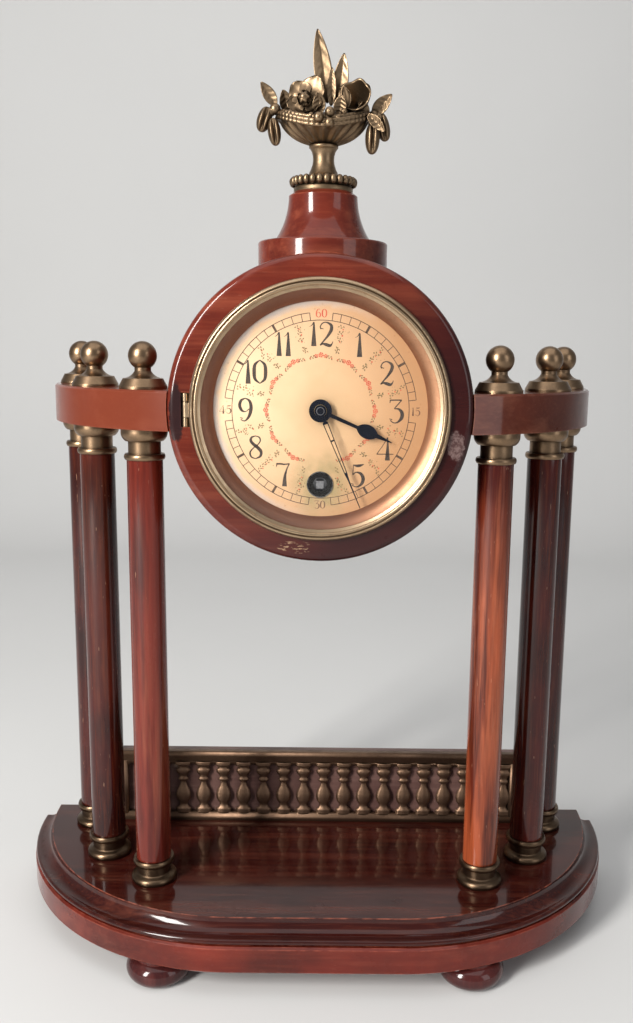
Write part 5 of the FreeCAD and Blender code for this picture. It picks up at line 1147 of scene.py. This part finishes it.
# Buds under them
for x, z, radius in ((-18.0, 29.2, 2.1), (-19.6, 28.2, 1.7), (18.4, 27.2, 2.1), (20.2, 26.8, 1.7)):
    ball(x, -1.6, z, radius)
print("the basket so far:", len(basket.faces), "faces")

# %% Pods and berries
# A pod is a lathe whose radius is a sine from pole to pole. The slit down its front is a bell curve
# about its middle line that goes inwards, and a lip on each side is a narrower one that goes out
for x, y, z, half, long, lean in (
    (-22.0, -1.4, 25.6, 2.7, 4.6, 18.0),
    (-18.2, -3.4, 20.9, 2.4, 4.9, -8.0),
    (18.0, -3.4, 19.2, 2.7, 5.8, 2.0),
    (21.8, -0.8, 23.6, 2.6, 5.2, -14.0),
):
    across = np.linspace(0.02, math.pi - 0.02, 26)
    pod = lathe(half * np.sin(across) ** 0.85, -long * np.cos(across), 40)
    front = np.clip(-pod[..., 1] / half, 0, 1) ** 0.5 * np.sin(across)[:, None]
    slit = np.exp(-(pod[..., 0] / 0.5) ** 2)
    lip = np.exp(-((np.abs(pod[..., 0]) - 1.1) / 0.4) ** 2)
    pod[..., 1] += (1.7 * slit - 0.35 * lip) * front
    basket.grid(placed(pod, x, y, z, about("Y", lean)))
# Berries at the middle of the rim, with a navel each
for x, y, z, radius in (
    (-1.8, -10.6, 24.6, 1.95), (2.2, -9.9, 26.7, 1.85), (2.0, -10.9, 22.8, 1.85), (-4.6, -9.0, 25.6, 1.2),
    (5.2, -8.8, 24.8, 1.3), (-12.2, -6.2, 27.0, 1.2), (7.4, -8.0, 27.2, 1.2),
):
    ball(x, y, z, radius)
    ball(x, y - radius * 0.85, z, radius * 0.3, 6, 8)

urn = basket.build("flower_basket")
urn.data.materials.append(materials["urn_brass"])
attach(urn, "case")
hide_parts("urn_finial")
print("cast the basket with", len(urn.data.polygons), "faces")

# %% [markdown]
# The stage
#
# A pale floor that curves up into a pale wall, soft light from a window at the left, and weaker
# light from the right and above. A whole room could stand round the clock, but the polish would
# mirror all of it. The camera stands where the photograph was taken from.

# %% Floor and wall
BEND = 0.35
WALL_Y = 1.1
t = np.linspace(0, math.pi / 2, 16)
ys = np.concatenate([[-2.2, 0.0], WALL_Y - BEND + BEND * np.sin(t), [WALL_Y]])
zs = np.concatenate([[0.0, 0.0], BEND - BEND * np.cos(t), [3.2]])
points = np.stack([np.stack([np.full_like(ys, x), ys, zs], -1) for x in (-3.2, 3.2)], 1)
faces = grid_faces(len(ys), 2, False)
floor = mesh_object("floor", points, faces, [True] * len(faces))
f = Finish("pale_floor")
soft = f.noise(0.004, 3.0)
f.set(Base_Color=f.mix(soft, (0.60, 0.596, 0.59), (0.64, 0.636, 0.63)), Roughness=soft * 0.1 + 0.65)
floor.data.materials.append(f.material)
print("the floor has", len(faces), "faces")

# %% Lights
# Place, width, height, power and colour
LIGHTS = {
    "window": ((-0.75, -0.85, 0.62), 0.26, 0.8, 25.0, (1.0, 0.985, 0.95)),
    "room": ((0.9, -0.8, 0.50), 0.5, 0.9, 2.5, (0.96, 0.98, 1.0)),
    "ceiling": ((0.0, -0.2, 1.5), 1.6, 1.6, 9.0, (1.0, 1.0, 1.0)),
}
CLOCK_MIDDLE = Vector((0.0, 0.0, 0.18))
for name, (place, width, height, power, colour) in LIGHTS.items():
    light = bpy.data.lights.new(name, "AREA")
    light.shape = "RECTANGLE"
    light.size, light.size_y = width, height
    light.energy = power
    light.color = colour
    thing = bpy.data.objects.new(name, light)
    thing.location = place
    thing.rotation_euler = (CLOCK_MIDDLE - Vector(place)).to_track_quat("-Z", "Y").to_euler()
    bpy.context.scene.collection.objects.link(thing)
world = bpy.data.worlds.new("world")
world.use_nodes = True
sky = world.node_tree.nodes["Background"]
sky.inputs["Color"].default_value = (0.82, 0.84, 0.86, 1.0)
sky.inputs["Strength"].default_value = 0.28
bpy.context.scene.world = world
bpy.context.scene.view_settings.view_transform = "Standard"
print("lit by", len(LIGHTS), "lamps and the sky")

# %% Camera
# A least-squares fit to the photograph gives the place, the angles, the focal length and the middle
# of the picture, the last two in pixels
PLACE = Vector((4.755, -386.863, 246.3)) * MM
PITCH_DOWN, YAW, ROLL = math.radians(10.279), math.radians(0.244), math.radians(0.696)
FOCAL, MIDDLE_X, MIDDLE_Y = 976.24, 336.268, 524.714
WIDTH, HEIGHT = 633, 1023
SENSOR = 36.0
ahead = math.cos(PITCH_DOWN)
forward = Vector((math.sin(YAW) * ahead, math.cos(YAW) * ahead, -math.sin(PITCH_DOWN)))
right = Vector((math.cos(YAW), -math.sin(YAW), 0.0))
up = right.cross(forward)
cos_roll, sin_roll = math.cos(ROLL), math.sin(ROLL)
axes = Matrix((right * cos_roll + up * sin_roll, up * cos_roll - right * sin_roll, -forward))
data = bpy.data.cameras.new("camera")
data.sensor_width = SENSOR
data.lens = FOCAL * SENSOR / HEIGHT
data.shift_x = -(MIDDLE_X - WIDTH / 2) / HEIGHT
data.shift_y = (MIDDLE_Y - HEIGHT / 2) / HEIGHT
data.clip_start = 0.01
camera = bpy.data.objects.new("camera", data)
camera.matrix_world = Matrix.Translation(PLACE) @ axes.transposed().to_4x4()
bpy.context.scene.collection.objects.link(camera)
bpy.context.scene.camera = camera
print("the lens is", round(data.lens, 2), "mm")
